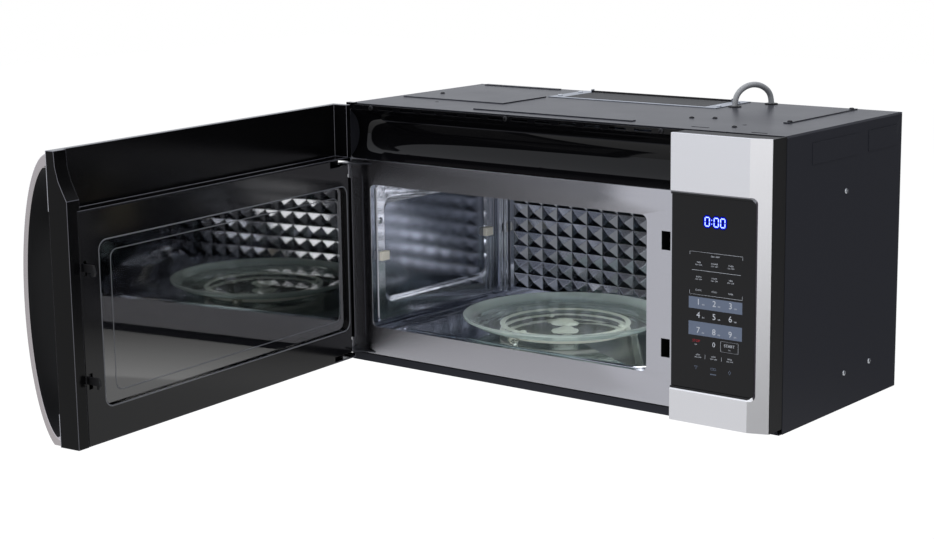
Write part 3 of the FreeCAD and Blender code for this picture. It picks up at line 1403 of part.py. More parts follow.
def make_cord():
    """Grommets in the top sheet and the loop of cord between them."""
    lip = s.height + s.bushing_lip
    low = s.height - s.bushing_deep
    rings = []
    for index, spot in enumerate(CORD_ENDS):
        flange = rod(f"grommet_lip_{index}", "z", spot, bushing_neck + s.bushing_flange, (s.height, lip))
        neck = rod(f"grommet_neck_{index}", "z", spot, bushing_neck, (low, s.height + LAP))
        bore = rod(f"grommet_bore_{index}", "z", spot, s.cord_radius + s.running_gap, grown((low, lip), OVER))
        rings.append(cut(f"grommet_{index}", fuse(f"grommet_body_{index}", [flange, neck]), [bore]))
    keep("cord_bushing", group("cord_bushing", rings))
    item = doc.addObject("Part::Feature", "power_cord")
    item.Shape = tube_along(cord_points(), s.cord_radius.number)
    keep("power_cord", item)


# The cord's route from the front grommet to the rear one: how far along between them, and how high over
# the top.
CORD_ROUTE = [(0, -3.5), (0, 10), (0.11, 22.5), (0.36, 31), (0.66, 30.5), (0.90, 21.5), (1, 9.5), (1, -3.5)]


def cord_points():
    """The route as points over the top sheet."""
    (x0, y0), (x1, y1) = [(x.number, y.number) for x, y in CORD_ENDS]
    top = s.height.number
    return [FreeCAD.Vector(x0 + (x1 - x0) * along, y0 + (y1 - y0) * along, top + up) for along, up in CORD_ROUTE]


def tube_along(points, radius):
    """Straight runs joined by tangent arcs, each as large as its two runs allow."""
    edges = []
    start = points[0]
    bends = []
    for before, here, after in zip(points, points[1:], points[2:]):
        back = (before - here).normalize()
        ahead = (after - here).normalize()
        half_turn = (math.pi - back.getAngle(ahead)) / 2
        reach = 0.45 * min((before - here).Length, (after - here).Length)
        bend = reach / math.tan(half_turn)
        bends.append(bend)
        entry, leave = here + back * reach, here + ahead * reach
        middle = here + (back + ahead).normalize() * (bend / math.cos(half_turn) - bend)
        edges.append(Part.LineSegment(start, entry).toShape())
        edges.append(Part.Arc(entry, middle, leave).toShape())
        start = leave
    edges.append(Part.LineSegment(start, points[-1]).toShape())
    path = Part.Wire(edges)
    ring = Part.Wire([Part.makeCircle(radius, points[0], (points[1] - points[0]).normalize())])
    tube = path.makePipeShell([ring], True, False)
    expected = math.pi * radius ** 2 * path.Length
    print(f"cord: length {path.Length:.1f}, bend radii {[round(bend, 1) for bend in bends]}, "
          f"volume ratio {tube.Volume / expected:.4f}")
    return tube


# ---------------------------------------------------------------------------------------------------------
# Hinges and door
# ---------------------------------------------------------------------------------------------------------

def make_hinges():
    """Two flat brackets on the front frame, each with a pin for the door."""
    edge = -half + LAP
    nose = hinge_y - s.hinge_nose
    brackets = []
    places = {
        "upper": ((hinge_high, hinge_high + s.hinge_plate), (hinge_high - s.hinge_pin_long, hinge_high + LAP)),
        "lower": ((hinge_low - s.hinge_plate, hinge_low), (hinge_low - LAP, hinge_low + s.hinge_pin_long)),
    }
    for name, (plate_span, pin_span) in places.items():
        outline = [
            (edge, face_front), (hinge_x + s.hinge_reach, face_front),
            (hinge_x + s.hinge_reach / 2, face_front - s.hinge_out / 2),
            (hinge_x + s.hinge_nose + 2, nose), (edge, nose),
        ]
        brackets.append(fuse(f"hinge_{name}", [
            pad(f"hinge_plate_{name}", "z", outline, plate_span),
            rod(f"hinge_pin_{name}", "z", (hinge_x, hinge_y), s.hinge_pin, pin_span),
        ]))
    keep("cabinet_hinges", group("cabinet_hinges", brackets))


frame_low = s.front_low + s.door_wall + s.seat_gap
frame_high = band_high - s.door_wall - s.seat_gap
frame_front = door_back - s.frame_deep
screen_back = door_back - s.recess_deep
recess_xs = (frame_left + s.recess_in, mouth_right + s.recess_over)
recess_zs = (s.opening_low - s.recess_under, mouth_high - s.recess_below_top)
bearing_zs = {
    "high": (hinge_high - s.seat_gap - s.hinge_block, hinge_high - s.seat_gap),
    "low": (hinge_low + s.seat_gap, hinge_low + s.seat_gap + s.hinge_block),
}
slide_back = door_back - s.frame_sheet - s.seat_gap        # latch bar's face behind the inner frame
slide_front = slide_back - s.bar_deep
spring_low = hook_high + s.hook_tall / 2
spring_top = spring_low + s.spring_long


def hinge_notches(name, ys):
    """Room for the brackets at the upper and lower hinge corner."""
    xs = (door_left - OVER, hinge_x + s.hinge_reach + 5)
    return [
        box(name + "_high", xs, ys, (hinge_high - s.seat_gap, band_high - s.door_wall)),
        box(name + "_low", xs, ys, (s.front_low + s.door_wall, hinge_low + s.seat_gap)),
    ]


def hook_slots(name, ys):
    """Slots in the door's inner face that the hooks slide in."""
    slots = []
    for place_name, z in HOOKS:
        slots.append(box(f"{name}_hook_slot_{place_name}", grown(hook_xs, 1.5), ys,
                         (z - s.hook_tall / 2 - s.hook_barb - OVER, z + s.hook_tall / 2 + s.latch_travel + OVER)))
    return slots


def make_door_frame():
    """Pressed steel frame: choke pan, sunk window with its screen, and the bearing blocks."""
    wall = s.frame_sheet
    xs, ys, zs = (frame_left, frame_right), (frame_front, door_back), (frame_low, frame_high)
    pan = cut("frame_pan", box("frame_block", xs, ys, zs),
              [box("frame_room", grown(xs, -wall), (frame_front - OVER, door_back - wall), grown(zs, -wall))])
    sunk = round_block("frame_sunk", "y", grown(recess_xs, wall), (screen_back - wall, door_back),
                       grown(recess_zs, wall), s.recess_round + wall)
    tab = box("spring_tab", (hook_xs[0] - 4, frame_right - LAP), (slide_front - 1, door_back - LAP),
              (spring_top, spring_top + 2))
    parts = [pan, sunk, tab]
    tools = [round_block("frame_recess", "y", recess_xs, (screen_back, door_back + OVER), recess_zs, s.recess_round)]
    tools += hinge_notches("frame_notch", grown(ys, OVER))
    tools += hook_slots("frame", grown((door_back - wall, door_back), OVER))
    for name, span in bearing_zs.items():
        parts.append(box(f"bearing_{name}", (door_left + LAP, frame_left + 6), grown((hinge_y, hinge_y), 9), span))
        tools.append(rod(f"bearing_bore_{name}", "z", (hinge_x, hinge_y), s.hinge_pin + s.running_gap,
                         grown(span, OVER)))
    keep_on_door("door_frame", cut("door_frame_body", fuse("frame_solid", parts), tools))


def make_choke_cover():
    """Thin plastic cover on the inner frame."""
    ys = (door_back, door_back + s.cover_sheet)
    plate = box("cover_plate", (frame_left + OVER, frame_right), ys, (frame_low, frame_high))
    tools = [round_block("cover_window", "y", recess_xs, grown(ys, OVER), recess_zs, s.recess_round)]
    tools += hinge_notches("cover_notch", grown(ys, OVER))
    tools += hook_slots("cover", grown(ys, OVER))
    keep_on_door("choke_cover", cut("choke_cover_body", plate, tools))


def make_glasses():
    """Inner window in the recess and the outer door glass between the steel bands."""
    keep_on_door("inner_glass", round_block("inner_pane", "y", grown(recess_xs, -s.seat_gap),
                                            (screen_back, screen_back + s.glass_thick),
                                            grown(recess_zs, -s.seat_gap), s.recess_round - s.seat_gap))
    keep_on_door("door_glass", box("outer_pane", (door_left + s.door_wall + OVER, door_right - s.door_wall - OVER),
                                   (glass_front, glass_back), grown((band_low, band_high), -s.seat_gap)))


def make_door_panel():
    """Black plastic body of the door, and the steel bands on it."""
    wall = s.door_wall
    xs = (door_left, door_right)
    carrier = glass_back + s.seat_gap
    full = (s.front_low, band_high)
    window_xs = (recess_xs[0] + s.carrier_margin, recess_xs[1] - s.carrier_margin)
    parts = [
        box("panel_upper", xs, (panel_front, panel_front + s.upper_slab), (band_high, s.height)),
        box("panel_shelf", xs, (carrier, door_back - 1), (band_high - wall, band_high)),
        box("panel_floor", xs, (panel_front, door_back - 1), (s.front_low, s.front_low + wall)),
        box("panel_lower_front", xs, (panel_front, carrier + LAP), (s.front_low, band_low)),
        box("panel_end_left", (door_left, door_left + wall * 0.75), (panel_front, door_back - 1), full),
        box("panel_end_right", (door_right - wall, door_right), (panel_front, door_back), full),
        box("panel_strip", (frame_right + s.seat_gap, door_right), (door_back - wall, door_back), full),
        cut("panel_carrier", box("carrier_plate", xs, (carrier, carrier + wall), full),
            [box("carrier_window", window_xs, grown((carrier, carrier + wall), OVER),
                 grown(recess_zs, -s.carrier_margin))]),
    ]
    upper_back = panel_front + s.upper_slab
    rise = s.height - band_high
    lean = door_back - upper_back
    rib = [
        (panel_front, band_high), (door_back, band_high), (door_back, band_high + rise * 0.19),
        (door_back - lean * 0.25, band_high + rise * 0.33), (door_back - lean * 0.55, band_high + rise * 0.52),
        (door_back - lean * 0.73, band_high + rise * 0.73), (door_back - lean * 0.78, s.height),
        (panel_front, s.height),
    ]
    parts.append(pad("rib_free_end", "x", rib, (door_right - s.rib_end_wide, door_right)))
    parts.append(box("rib_hinge_end", (door_left, door_left + s.rib_hinge_wide), (panel_front, door_back - 1),
                     (band_high, s.height)))
    tools = []
    for name, span in bearing_zs.items():
        tools.append(box(f"panel_notch_{name}", (door_left - OVER, frame_left + 7),
                         (hinge_y - 10, door_back + OVER), grown(span, s.hinge_plate + 2 * OVER + s.seat_gap)))
    keep_on_door("door_panel", cut("door_panel_body", fuse("panel_body", parts), tools))
    keep_on_door("door_bands", group("band_pair", [
        box("band_upper", xs, (front, panel_front), (band_high, s.height)),
        box("band_lower", xs, (front, panel_front), (s.front_low, band_low)),
    ]))


def ellipse_bar(name, half_high, half_deep):
    """A thick slice of an ellipse across the door, centred on its steel surface."""
    curve = doc.addObject("Part::Ellipse", name + "_curve")
    curve.setExpression("MajorRadius", half_high.formula)
    curve.setExpression("MinorRadius", half_deep.formula)
    place(curve, handle_xs[0], front, handle_middle, rotation=FreeCAD.Rotation(FreeCAD.Vector(0, 1, 0), -90))
    slab = doc.addObject("Part::Extrusion", name)
    slab.Base = curve
    slab.DirMode = "Custom"
    slab.Dir = FreeCAD.Vector(1, 0, 0)
    slab.setExpression("LengthFwd", s.handle_wide.formula)
    slab.Solid = True
    return slab


handle_xs = (fascia_left - s.handle_in - s.handle_wide / 2, fascia_left - s.handle_in + s.handle_wide / 2)
handle_end = s.height - s.handle_top
handle_half = (handle_end - s.front_low + s.handle_drop) / 2
handle_middle = handle_end - handle_half


def make_handle():
    """Bowed grip between two feet that stand on the steel bands."""
    outer = ellipse_bar("handle_outer", handle_half, s.handle_proud)
    inner = ellipse_bar("handle_inner", handle_half - s.handle_foot, s.handle_proud - s.handle_thick)
    wide = grown(handle_xs, OVER)
    behind = box("handle_behind", wide, (front, front + 2 * s.handle_proud),
                 (s.front_low - s.handle_drop - OVER, s.height + OVER))
    below = box("handle_below", wide, (front - s.handle_proud, front + OVER),
                (s.front_low - s.handle_drop - OVER, s.front_low))
    strap = cut("handle_strap", outer, [inner, behind, below])
    seams = grown((handle_middle, handle_middle), s.grip_long / 2)
    ys = (front - s.handle_proud - OVER, front + OVER)
    keep_on_door("door_handle", group("handle_parts", [
        common("handle_foot_low", strap, box("foot_low_room", wide, ys, (s.front_low - OVER, seams[0]))),
        common("handle_grip", strap, box("grip_room", wide, ys, seams)),
        common("handle_foot_high", strap, box("foot_high_room", wide, ys, (seams[1], s.height))),
    ]))


def make_latch():
    """Sliding bar with two hooks, and the spring above it."""
    tip = door_back + s.hook_reach
    parts = [box("hook_bar", hook_xs, (slide_front, slide_back),
                 (hook_low - s.hook_tall / 2, hook_high + s.hook_tall / 2))]
    for name, z in HOOKS:
        low, high = z - s.hook_tall / 2, z + s.hook_tall / 2
        barb = low - s.hook_barb
        outline = [
            (slide_back - LAP, low), (tip - 6, low), (tip - 6, barb), (tip - 2, barb), (tip, low), (tip - 3, high),
            (slide_back - LAP, high),
        ]
        parts.append(pad(f"hook_{name}", "x", outline, hook_xs))
    keep_on_door("latch_hooks", fuse("latch_bar", parts))
    centre = (hook_x, (slide_front + slide_back) / 2)
    span = grown((spring_low, spring_top), -s.seat_gap)
    keep_on_door("latch_spring", cut("spring_tube", rod("spring_out", "z", centre, s.spring_radius, span), [
        rod("spring_in", "z", centre, s.spring_radius - s.spring_wire, grown(span, OVER)),
    ]))


# ---------------------------------------------------------------------------------------------------------
# Build, test and write
# ---------------------------------------------------------------------------------------------------------

def check_document():
    """Stop on any failed object or piece."""
    for item in doc.Objects:
        bad = [state for state in item.State if state in ("Invalid", "Error")]
        if bad:
            raise RuntimeError(f"{item.Name}: {bad}")
    for name, item in nodes.items():
        if item.Shape.isNull() or not item.Shape.isValid():
            raise RuntimeError(f"{name}: empty or invalid shape")


def write_pieces():
    """Write one file for each piece."""
    os.makedirs("parts", exist_ok=True)
    for name, item in nodes.items():
        item.Shape.exportStep(f"parts/{name}.step")
        size = item.Shape.BoundBox
        print(f"{name:22s} {len(item.Shape.Solids):3d} solids  "
              f"{item.Shape.Volume / 1000:9.1f} cm3  {size.XLength:7.1f} {size.YLength:7.1f} {size.ZLength:7.1f}")


def main():
    """Make every piece in order."""
    make_outer_wrap()
    make_rear_panel()
    make_base_plate()
    make_face_plate()
    make_vent_panel()
    make_top_trim()
    make_cavity_liner()
    make_cavity_back()
    make_rack_supports()
    make_turntable_motor()
    make_turntable_coupler()
    make_glass_tray()
    make_roller_ring()
    make_rollers()
    make_control_fascia()
    make_control_housing()
    make_control_glass()
    make_display_and_board()
    make_latch_body()
    make_waveguide_and_cover()
    make_magnetron()
    make_power_parts()
    make_vent_blower()
    make_cooling_fan()
    make_convection()
    make_exhaust()
    make_filters()
    make_lamps()
    make_screws()
    make_cord()
    make_hinges()
    make_door_frame()
    make_choke_cover()
    make_glasses()
    make_door_panel()
    make_handle()
    make_latch()
    doc.recompute()
    check_document()
    write_pieces()


main()
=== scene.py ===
"""Looks of an over the range microwave, made around its CAD frame."""

import json
import math

import bmesh
import bpy
import numpy as np
from bpy.props import FloatProperty, FloatVectorProperty, PointerProperty
from mathutils import Matrix, Vector

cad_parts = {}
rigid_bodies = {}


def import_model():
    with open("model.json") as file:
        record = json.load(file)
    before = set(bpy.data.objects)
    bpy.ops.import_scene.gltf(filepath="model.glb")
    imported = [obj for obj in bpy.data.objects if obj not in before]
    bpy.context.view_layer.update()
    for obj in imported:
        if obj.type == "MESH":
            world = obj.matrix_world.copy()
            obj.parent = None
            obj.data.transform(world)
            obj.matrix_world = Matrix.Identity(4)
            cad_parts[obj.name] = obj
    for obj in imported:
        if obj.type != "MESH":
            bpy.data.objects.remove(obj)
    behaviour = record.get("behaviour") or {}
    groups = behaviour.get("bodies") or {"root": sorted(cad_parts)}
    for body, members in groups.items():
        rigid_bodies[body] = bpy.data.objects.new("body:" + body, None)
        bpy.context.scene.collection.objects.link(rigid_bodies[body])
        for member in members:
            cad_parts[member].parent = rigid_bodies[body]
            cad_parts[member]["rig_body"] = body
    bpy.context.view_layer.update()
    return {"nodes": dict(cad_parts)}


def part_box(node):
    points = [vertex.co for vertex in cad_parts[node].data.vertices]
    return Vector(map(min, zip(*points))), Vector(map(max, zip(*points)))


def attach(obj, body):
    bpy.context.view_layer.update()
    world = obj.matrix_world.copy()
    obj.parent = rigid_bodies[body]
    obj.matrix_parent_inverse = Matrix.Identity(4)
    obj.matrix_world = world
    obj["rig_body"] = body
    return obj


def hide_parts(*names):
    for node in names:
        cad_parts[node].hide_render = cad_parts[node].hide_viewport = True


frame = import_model()

bl_info = {
    "name": "Over the range microwave",
    "version": (1, 0, 0),
    "blender": (4, 5, 0),
    "location": "View3D > Sidebar > Microwave",
    "description": "Builds the finished pieces of a microwave around its CAD frame",
    "category": "Object",
}

MM = 0.001
NODES = frame["nodes"]

# Places and sizes in millimetres, as in the CAD: X runs along the wall, Y into it and Z up.
CAMERA_PLACE = (1658.0, -2598.0, 734.0)
CAMERA_TURNS = (0.673523, 0.193382, -0.0131)    # yaw, pitch down and roll, in radians
CAMERA_LENS = 77.07
CAMERA_SENSOR = 36.0
CAMERA_REACH = 60.0                             # metres
FLOOR_Z = -450.0
FLOOR_HALF = 9.0                                # metres
DOOR_AXIS = (-374.5, -353.7)                    # X and Y of the hinge pins
DOOR_OPEN = 85.0                                # degrees
CORD_ROUTE = ((147, -71, 396.5), (147, -71, 410), (149.97, -64.51, 422.5), (156.72, -49.76, 431),
              (164.82, -32.06, 430.5), (171.3, -17.9, 421.5), (174, -12, 409.5), (174, -12, 396.5))
CORD_RADIUS = 4.25
TABLE_AXIS = (-82.5, -178.0)                    # X and Y of the turntable's axis
TRAY_FLAT = 67.0                                # top of the tray's flat middle
HANDLE_SEAMS = (108.0, 288.0)                   # heights where the handle's three solids meet
FASCIA = dict(left=229.0, fold=350.0, right=378.2, low=7.5, high=400.0, front=-371.0, back=-361.5)
TOUCH_GLASS = dict(left=229.0, right=358.7, low=55.3, high=317.7, corner=6.0, front=-368.2)
DOOR_GLASS = (-376.2, 224.0, 52.8, 320.7)       # left, right, low and high edge on the closed door
DOOR_GLASS_DEPTHS = (-368.2, -365.2)            # its outer and inner face
DOOR_WINDOW = (-347.0, 158.0, 70.0, 262.0)
DOOR_WINDOW_CORNER = 8.0
OVEN_LEFT, OVEN_FLOOR, OVEN_BACK = -340.0, 51.0, -21.0


# ---------------------------------------------------------------- colours and sizes

def linear(text):
    """A colour written as six hex digits of sRGB, turned into linear light."""
    levels = [int(text[i:i + 2], 16) / 255 for i in (0, 2, 4)]
    return tuple(v / 12.92 if v <= 0.04045 else ((v + 0.055) / 1.055) ** 2.4 for v in levels)


def colour_of(name, description, text):
    """A colour that the panel shows."""
    return FloatVectorProperty(name=name, description=description, subtype="COLOR", size=3, min=0, max=1,
                               default=linear(text))


def length_of(name, description, size_mm, least=0.0, most=1000.0):
    """A length that the panel shows, given in millimetres."""
    return FloatProperty(name=name, description=description, unit="LENGTH", subtype="DISTANCE", precision=5,
                         default=size_mm * MM, min=least * MM, max=most * MM)


class MicrowaveSizes(bpy.types.PropertyGroup):
    """Sizes of the finished pieces that a user would change."""
    sheet_edge: length_of("Sheet edge", "Rounding of the folded and cut edges of sheet metal", 0.3, 0.05, 2)
    moulded_edge: length_of("Moulded edge", "Rounding of the edges of plastic mouldings", 0.6, 0.05, 2)
    pyramid_edge: length_of("Pyramid edge", "Rounding of the pressed pyramids of the oven's back", 0.6, 0.05, 2)
    grip_edge: length_of("Grip edge", "Rounding of the long edges of the handle", 1.8, 0.1, 4)
    window_slope: length_of("Window slope", "Height of the slopes above and below the touch glass", 5.0, 1, 12)
    digit_height: length_of("Digit height", "Height of the display's digits", 13.5, 6, 20)
    key_height: length_of("Key height", "Height of the printed numbers", 8.4, 4, 12)
    screen_pitch: length_of("Screen pitch", "Distance between the holes of the door's screen", 1.6, 0.8, 4)
    filter_pitch: length_of("Filter pitch", "Distance between the wires of the grease filters", 4.0, 2, 8)
    plate_relief: length_of("Wall relief", "How far the left wall's pressed surround stands out", 3.0, 1, 5)


class MicrowaveColours(bpy.types.PropertyGroup):
    """Colours of the finishes that a user would change."""
    paint: colour_of("Paint", "Powder coat of the cabinet", "2f3036")
    gloss_black: colour_of("Gloss black", "Polished black plastic", "08080a")
    brushed: colour_of("Brushed steel", "Front, fascia and door skins", "c3c3ca")
    fascia: colour_of("Fascia steel", "Folded fascia around the keys", "efeff3")
    bright: colour_of("Bright steel", "Inside of the oven", "c2c5cd")
    zinc: colour_of("Zinc", "Zinc coated sheets", "989da7")
    printed: colour_of("Printed band", "Bands behind the number keys", "667083")
    legend: colour_of("Legend", "Printed numbers and lines", "c4c8d0")
    stop: colour_of("Stop", "The word STOP", "a3202c")
    digits: colour_of("Digits", "Lit segments of the display", "c9e6ff")
    glow: colour_of("Glow", "Light around the lit segments", "1420e8")
    cord: colour_of("Cord", "Jacket of the mains lead", "8f9194")


def sizes():
    return bpy.context.scene.microwave_sizes


def colours():
    return bpy.context.scene.microwave_colours


# ---------------------------------------------------------------- materials

def add(tree, kind, inputs=None, **settings):
    """One node with its settings. An input given as a socket is linked, and any other is set."""
    node = tree.nodes.new(kind)
    for name, value in settings.items():
        setattr(node, name, value)
    for name, value in (inputs or {}).items():
        if isinstance(value, bpy.types.NodeSocket):
            tree.links.new(value, node.inputs[name])
        else:
            node.inputs[name].default_value = value
    return node


# What each surface is. "hex" names its colour or one of the panel's colours, "grain_mm" the size of its fine
# pattern, alike in all directions or along X, Y and Z, "depth_mm" how deep that is, and "swing" how far its
# roughness wanders. RECIPE_USUAL holds what a recipe leaves out.
RECIPE_USUAL = dict(metal=0.0, shine=0.5, tone=0.0, brushed=0.0, through=0.0, depth_mm=0.01, swing=0.03)
RECIPES = {
    # Cold rolled sheet, powder coated and baked: an even low gloss, mirror-like only at a grazing angle.
    "powder_coated_sheet": dict(hex="paint", rough=0.30, shine=0.05, grain_mm=2.5, depth_mm=0.002),
    # Enamelled pressed steel of the door's inside: a wet black gloss with soft reflections.
    "black_enamelled_steel": dict(hex="0a0a0c", rough=0.12, shine=0.38, grain_mm=6, depth_mm=0.004,
                                  swing=0.02),
    # Moulding of the door's body: polished, but much darker than its edges.
    "dull_black_abs": dict(hex="060607", rough=0.16, shine=0.16, grain_mm=2, depth_mm=0.006),
    # Rounded edges of the same moulding, painted grey as a painted highlight: they draw thin light lines.
    "worn_abs_edge": dict(hex="4a4a52", rough=0.12, shine=1.0, grain_mm=2, depth_mm=0.004, swing=0.02),
    # Hinge brackets, blanked from thick plate, in a dark grey steel.
    "hinge_steel": dict(hex="3c3d42", rough=0.30, metal=1.0, grain_mm=4, swing=0.05),
    # Thick black enamel at the edge of the printed border, painted grey as a painted highlight.
    "bead_enamel": dict(hex="4a4c52", rough=0.10, shine=1.0, grain_mm=6, depth_mm=0.002, swing=0.02),
    # Black phosphated screws.
    "black_screw_steel": dict(hex="2a2a2d", rough=0.30, metal=0.7, grain_mm=1.5, depth_mm=0.004, swing=0.05),
    # Pressed stainless of the oven's back. It is one sheet: its upward, sideways and downward facets carry a
    # painted highlight, painted half shade and painted shade that follow the light in the photograph.
    "pyramid_bright": dict(hex="f4f5fa", rough=0.12, metal=1.0, grain_mm=45, depth_mm=0.02),
    "pyramid_side": dict(hex="85888f", rough=0.12, metal=1.0, grain_mm=45, depth_mm=0.02),
    "pyramid_dark": dict(hex="34363b", rough=0.16, metal=1.0, grain_mm=45, depth_mm=0.02),
    # Hot dipped sheet, left bare: grey with a faint spangle.
    "galvanised_sheet": dict(hex="zinc", rough=0.34, metal=1.0, grain_mm=7, swing=0.10, tone=0.10),
    # Stainless sheet drawn through an abrasive belt along X: reflections smear up and down.
    "brushed_stainless": dict(hex="brushed", rough=0.22, metal=1.0, grain_mm=(60, 0.35, 0.35),
                              depth_mm=0.0004, swing=0.01, tone=0.02, brushed=1.0),
    # The fascia's sheet: brushed finer, and whiter.
    "fine_brushed_stainless": dict(hex="fascia", rough=0.23, metal=1.0, grain_mm=(60, 0.3, 0.3),
                                   depth_mm=0.0004, swing=0.01, tone=0.02, brushed=0.9),
    # Slopes of the fascia around the glass. Their tones are painted light that follows the photograph: painted
    # half shade above, painted shade at the side and a painted highlight below.
    "upper_slope_stainless": dict(hex="8f9096", rough=0.35, metal=1.0, grain_mm=2, depth_mm=0.002),
    "side_slope_stainless": dict(hex="4a464d", rough=0.35, metal=1.0, grain_mm=2, depth_mm=0.002),
    "lower_slope_stainless": dict(hex="fbfbfd", rough=0.35, metal=1.0, grain_mm=2, depth_mm=0.002),
    # Bright annealed stainless sheet: nearly a mirror, a little wavy where it was pressed.
    "bright_annealed_stainless": dict(hex="bright", rough=0.13, metal=1.0, grain_mm=45, depth_mm=0.05),
    # The left wall's sheet, darkened with painted shade that follows the photograph.
    "side_wall_stainless": dict(hex="868b97", rough=0.15, metal=1.0, grain_mm=45, depth_mm=0.05),
    # High gloss ABS moulding: a black mirror with a slight waviness.
    "gloss_abs": dict(hex="gloss_black", rough=0.05, shine=0.26, grain_mm=60, swing=0.01),
    # Spark eroded ABS moulding: a fine even texture that kills reflections.
    "textured_abs": dict(hex="141416", rough=0.55, shine=0.35, grain_mm=0.5, swing=0.04),
    # Glass filled PPS moulding in its natural cream colour.
    "natural_pps": dict(hex="efeadd", rough=0.45, shine=0.45, grain_mm=0.8, depth_mm=0.008, swing=0.04),
    # Clear polysulphone of the rollers and the coupler.
    "clear_polysulphone": dict(hex="f0efe8", rough=0.06, through=0.85, grain_mm=4, depth_mm=0.002,
                               swing=0.02),
    # Soda lime float glass with black enamel fired on its back.
    "enamelled_glass": dict(hex="0d0d10", rough=0.03, shine=0.34, grain_mm=200, depth_mm=0.02, swing=0.01),
    # Pressed soda lime glass: clear, a little green in its thickness.
    "pressed_glass": dict(hex="dcebe6", rough=0.02, through=1.0, grain_mm=18, depth_mm=0.006, swing=0.01),
    # The same glass where the mould is blasted: white and dull.
    "frosted_glass": dict(hex="f3f1e6", rough=0.35, shine=0.5, grain_mm=3, swing=0.05),
    # Aluminium extrusion, bead blasted and anodised: a soft even silver.
    "anodised_aluminium": dict(hex="c6c0c2", rough=0.24, metal=1.0, grain_mm=0.3, depth_mm=0.002),
    # Slit and stretched aluminium foil of the grease filters.
    "expanded_aluminium": dict(hex="b9bcc0", rough=0.30, metal=1.0, grain_mm=3, depth_mm=0.02, swing=0.06),
    # Pressed grains of activated carbon.
    "carbon_granules": dict(hex="131314", rough=0.85, shine=0.25, grain_mm=1.6, depth_mm=0.5, swing=0.05),
    # Punched silicon steel sheets, varnished: dark grey brown in layers.
    "varnished_laminations": dict(hex="3b3633", rough=0.42, metal=0.6, grain_mm=(40, 40, 0.5), depth_mm=0.02,
                                  swing=0.05),
    # Glass epoxy board under solder mask.
    "solder_masked_board": dict(hex="1f5a35", rough=0.35, shine=0.5, grain_mm=1.2, swing=0.05),
    # Pressed mica sheet: pale grey gold with flakes.
    "pressed_mica": dict(hex="b9ad93", rough=0.38, shine=0.5, grain_mm=5, depth_mm=0.02, swing=0.10,
                         tone=0.12),
    # Moulded EPDM.
    "moulded_rubber": dict(hex="1a1a1b", rough=0.62, shine=0.35, grain_mm=1.0, swing=0.04),
    # Extruded PVC jacket with a dull skin.
    "pvc_jacket": dict(hex="cord", rough=0.42, shine=0.45, grain_mm=0.9, swing=0.04),
    # Cold headed steel, bright zinc plated.
    "plated_screw_steel": dict(hex="c9ccd2", rough=0.22, metal=1.0, grain_mm=1.5, depth_mm=0.004, swing=0.05),
    # Incoloy sheath of the heater, dulled by heat.
    "heated_sheath": dict(hex="5b5853", rough=0.45, metal=1.0, grain_mm=3, swing=0.06, tone=0.1),
    # Screen printed ink: matt and thin.
    "screen_print": dict(hex="legend", rough=0.6, shine=0.2, grain_mm=0.4, depth_mm=0.001, swing=0.02),
    "screen_print_band": dict(hex="printed", rough=0.6, shine=0.2, grain_mm=0.4, depth_mm=0.001, swing=0.02),
    "screen_print_stop": dict(hex="stop", rough=0.6, shine=0.2, grain_mm=0.4, depth_mm=0.001, swing=0.02),
}

# Which surface each of the record's material slots is.
SLOT_FINISH = {
    "paint_black": "powder_coated_sheet", "zinc_sheet": "galvanised_sheet",
    "steel_brushed": "brushed_stainless", "steel_polished": "bright_annealed_stainless",
    "plastic_black": "gloss_abs", "plastic_matte": "textured_abs", "plastic_beige": "natural_pps",
    "plastic_clear": "clear_polysulphone", "glass_black": "enamelled_glass", "glass_clear": "pressed_glass",
    "handle_metal": "anodised_aluminium", "filter_mesh": "expanded_aluminium", "charcoal": "carbon_granules",
    "iron_core": "varnished_laminations", "board_green": "solder_masked_board", "mica": "pressed_mica",
    "rubber_black": "moulded_rubber", "cord_grey": "pvc_jacket", "screw_steel": "plated_screw_steel",
    "heater_steel": "heated_sheath",
}
PATCH_MM = 70.0
GLASS_INDEX = 1.5
TRAY_INDEX = 1.18                   # low, so that the tray mirrors less than a clean pane
FILM_INDEX = 2.3                    # of the pane's metal film
PANE_ROUGHNESS = 0.03
TRAY_HAZE_AND_RIM_HIGHLIGHT = dict(near=0.128, far=0.150, least=0.20, most=0.60)    # by the distance from the axis in metres


def new_material(name):
    """A material with an empty node tree, and that tree."""
    material = bpy.data.materials.new(name)
    material.use_nodes = True
    material.node_tree.nodes.clear()
    return material, material.node_tree


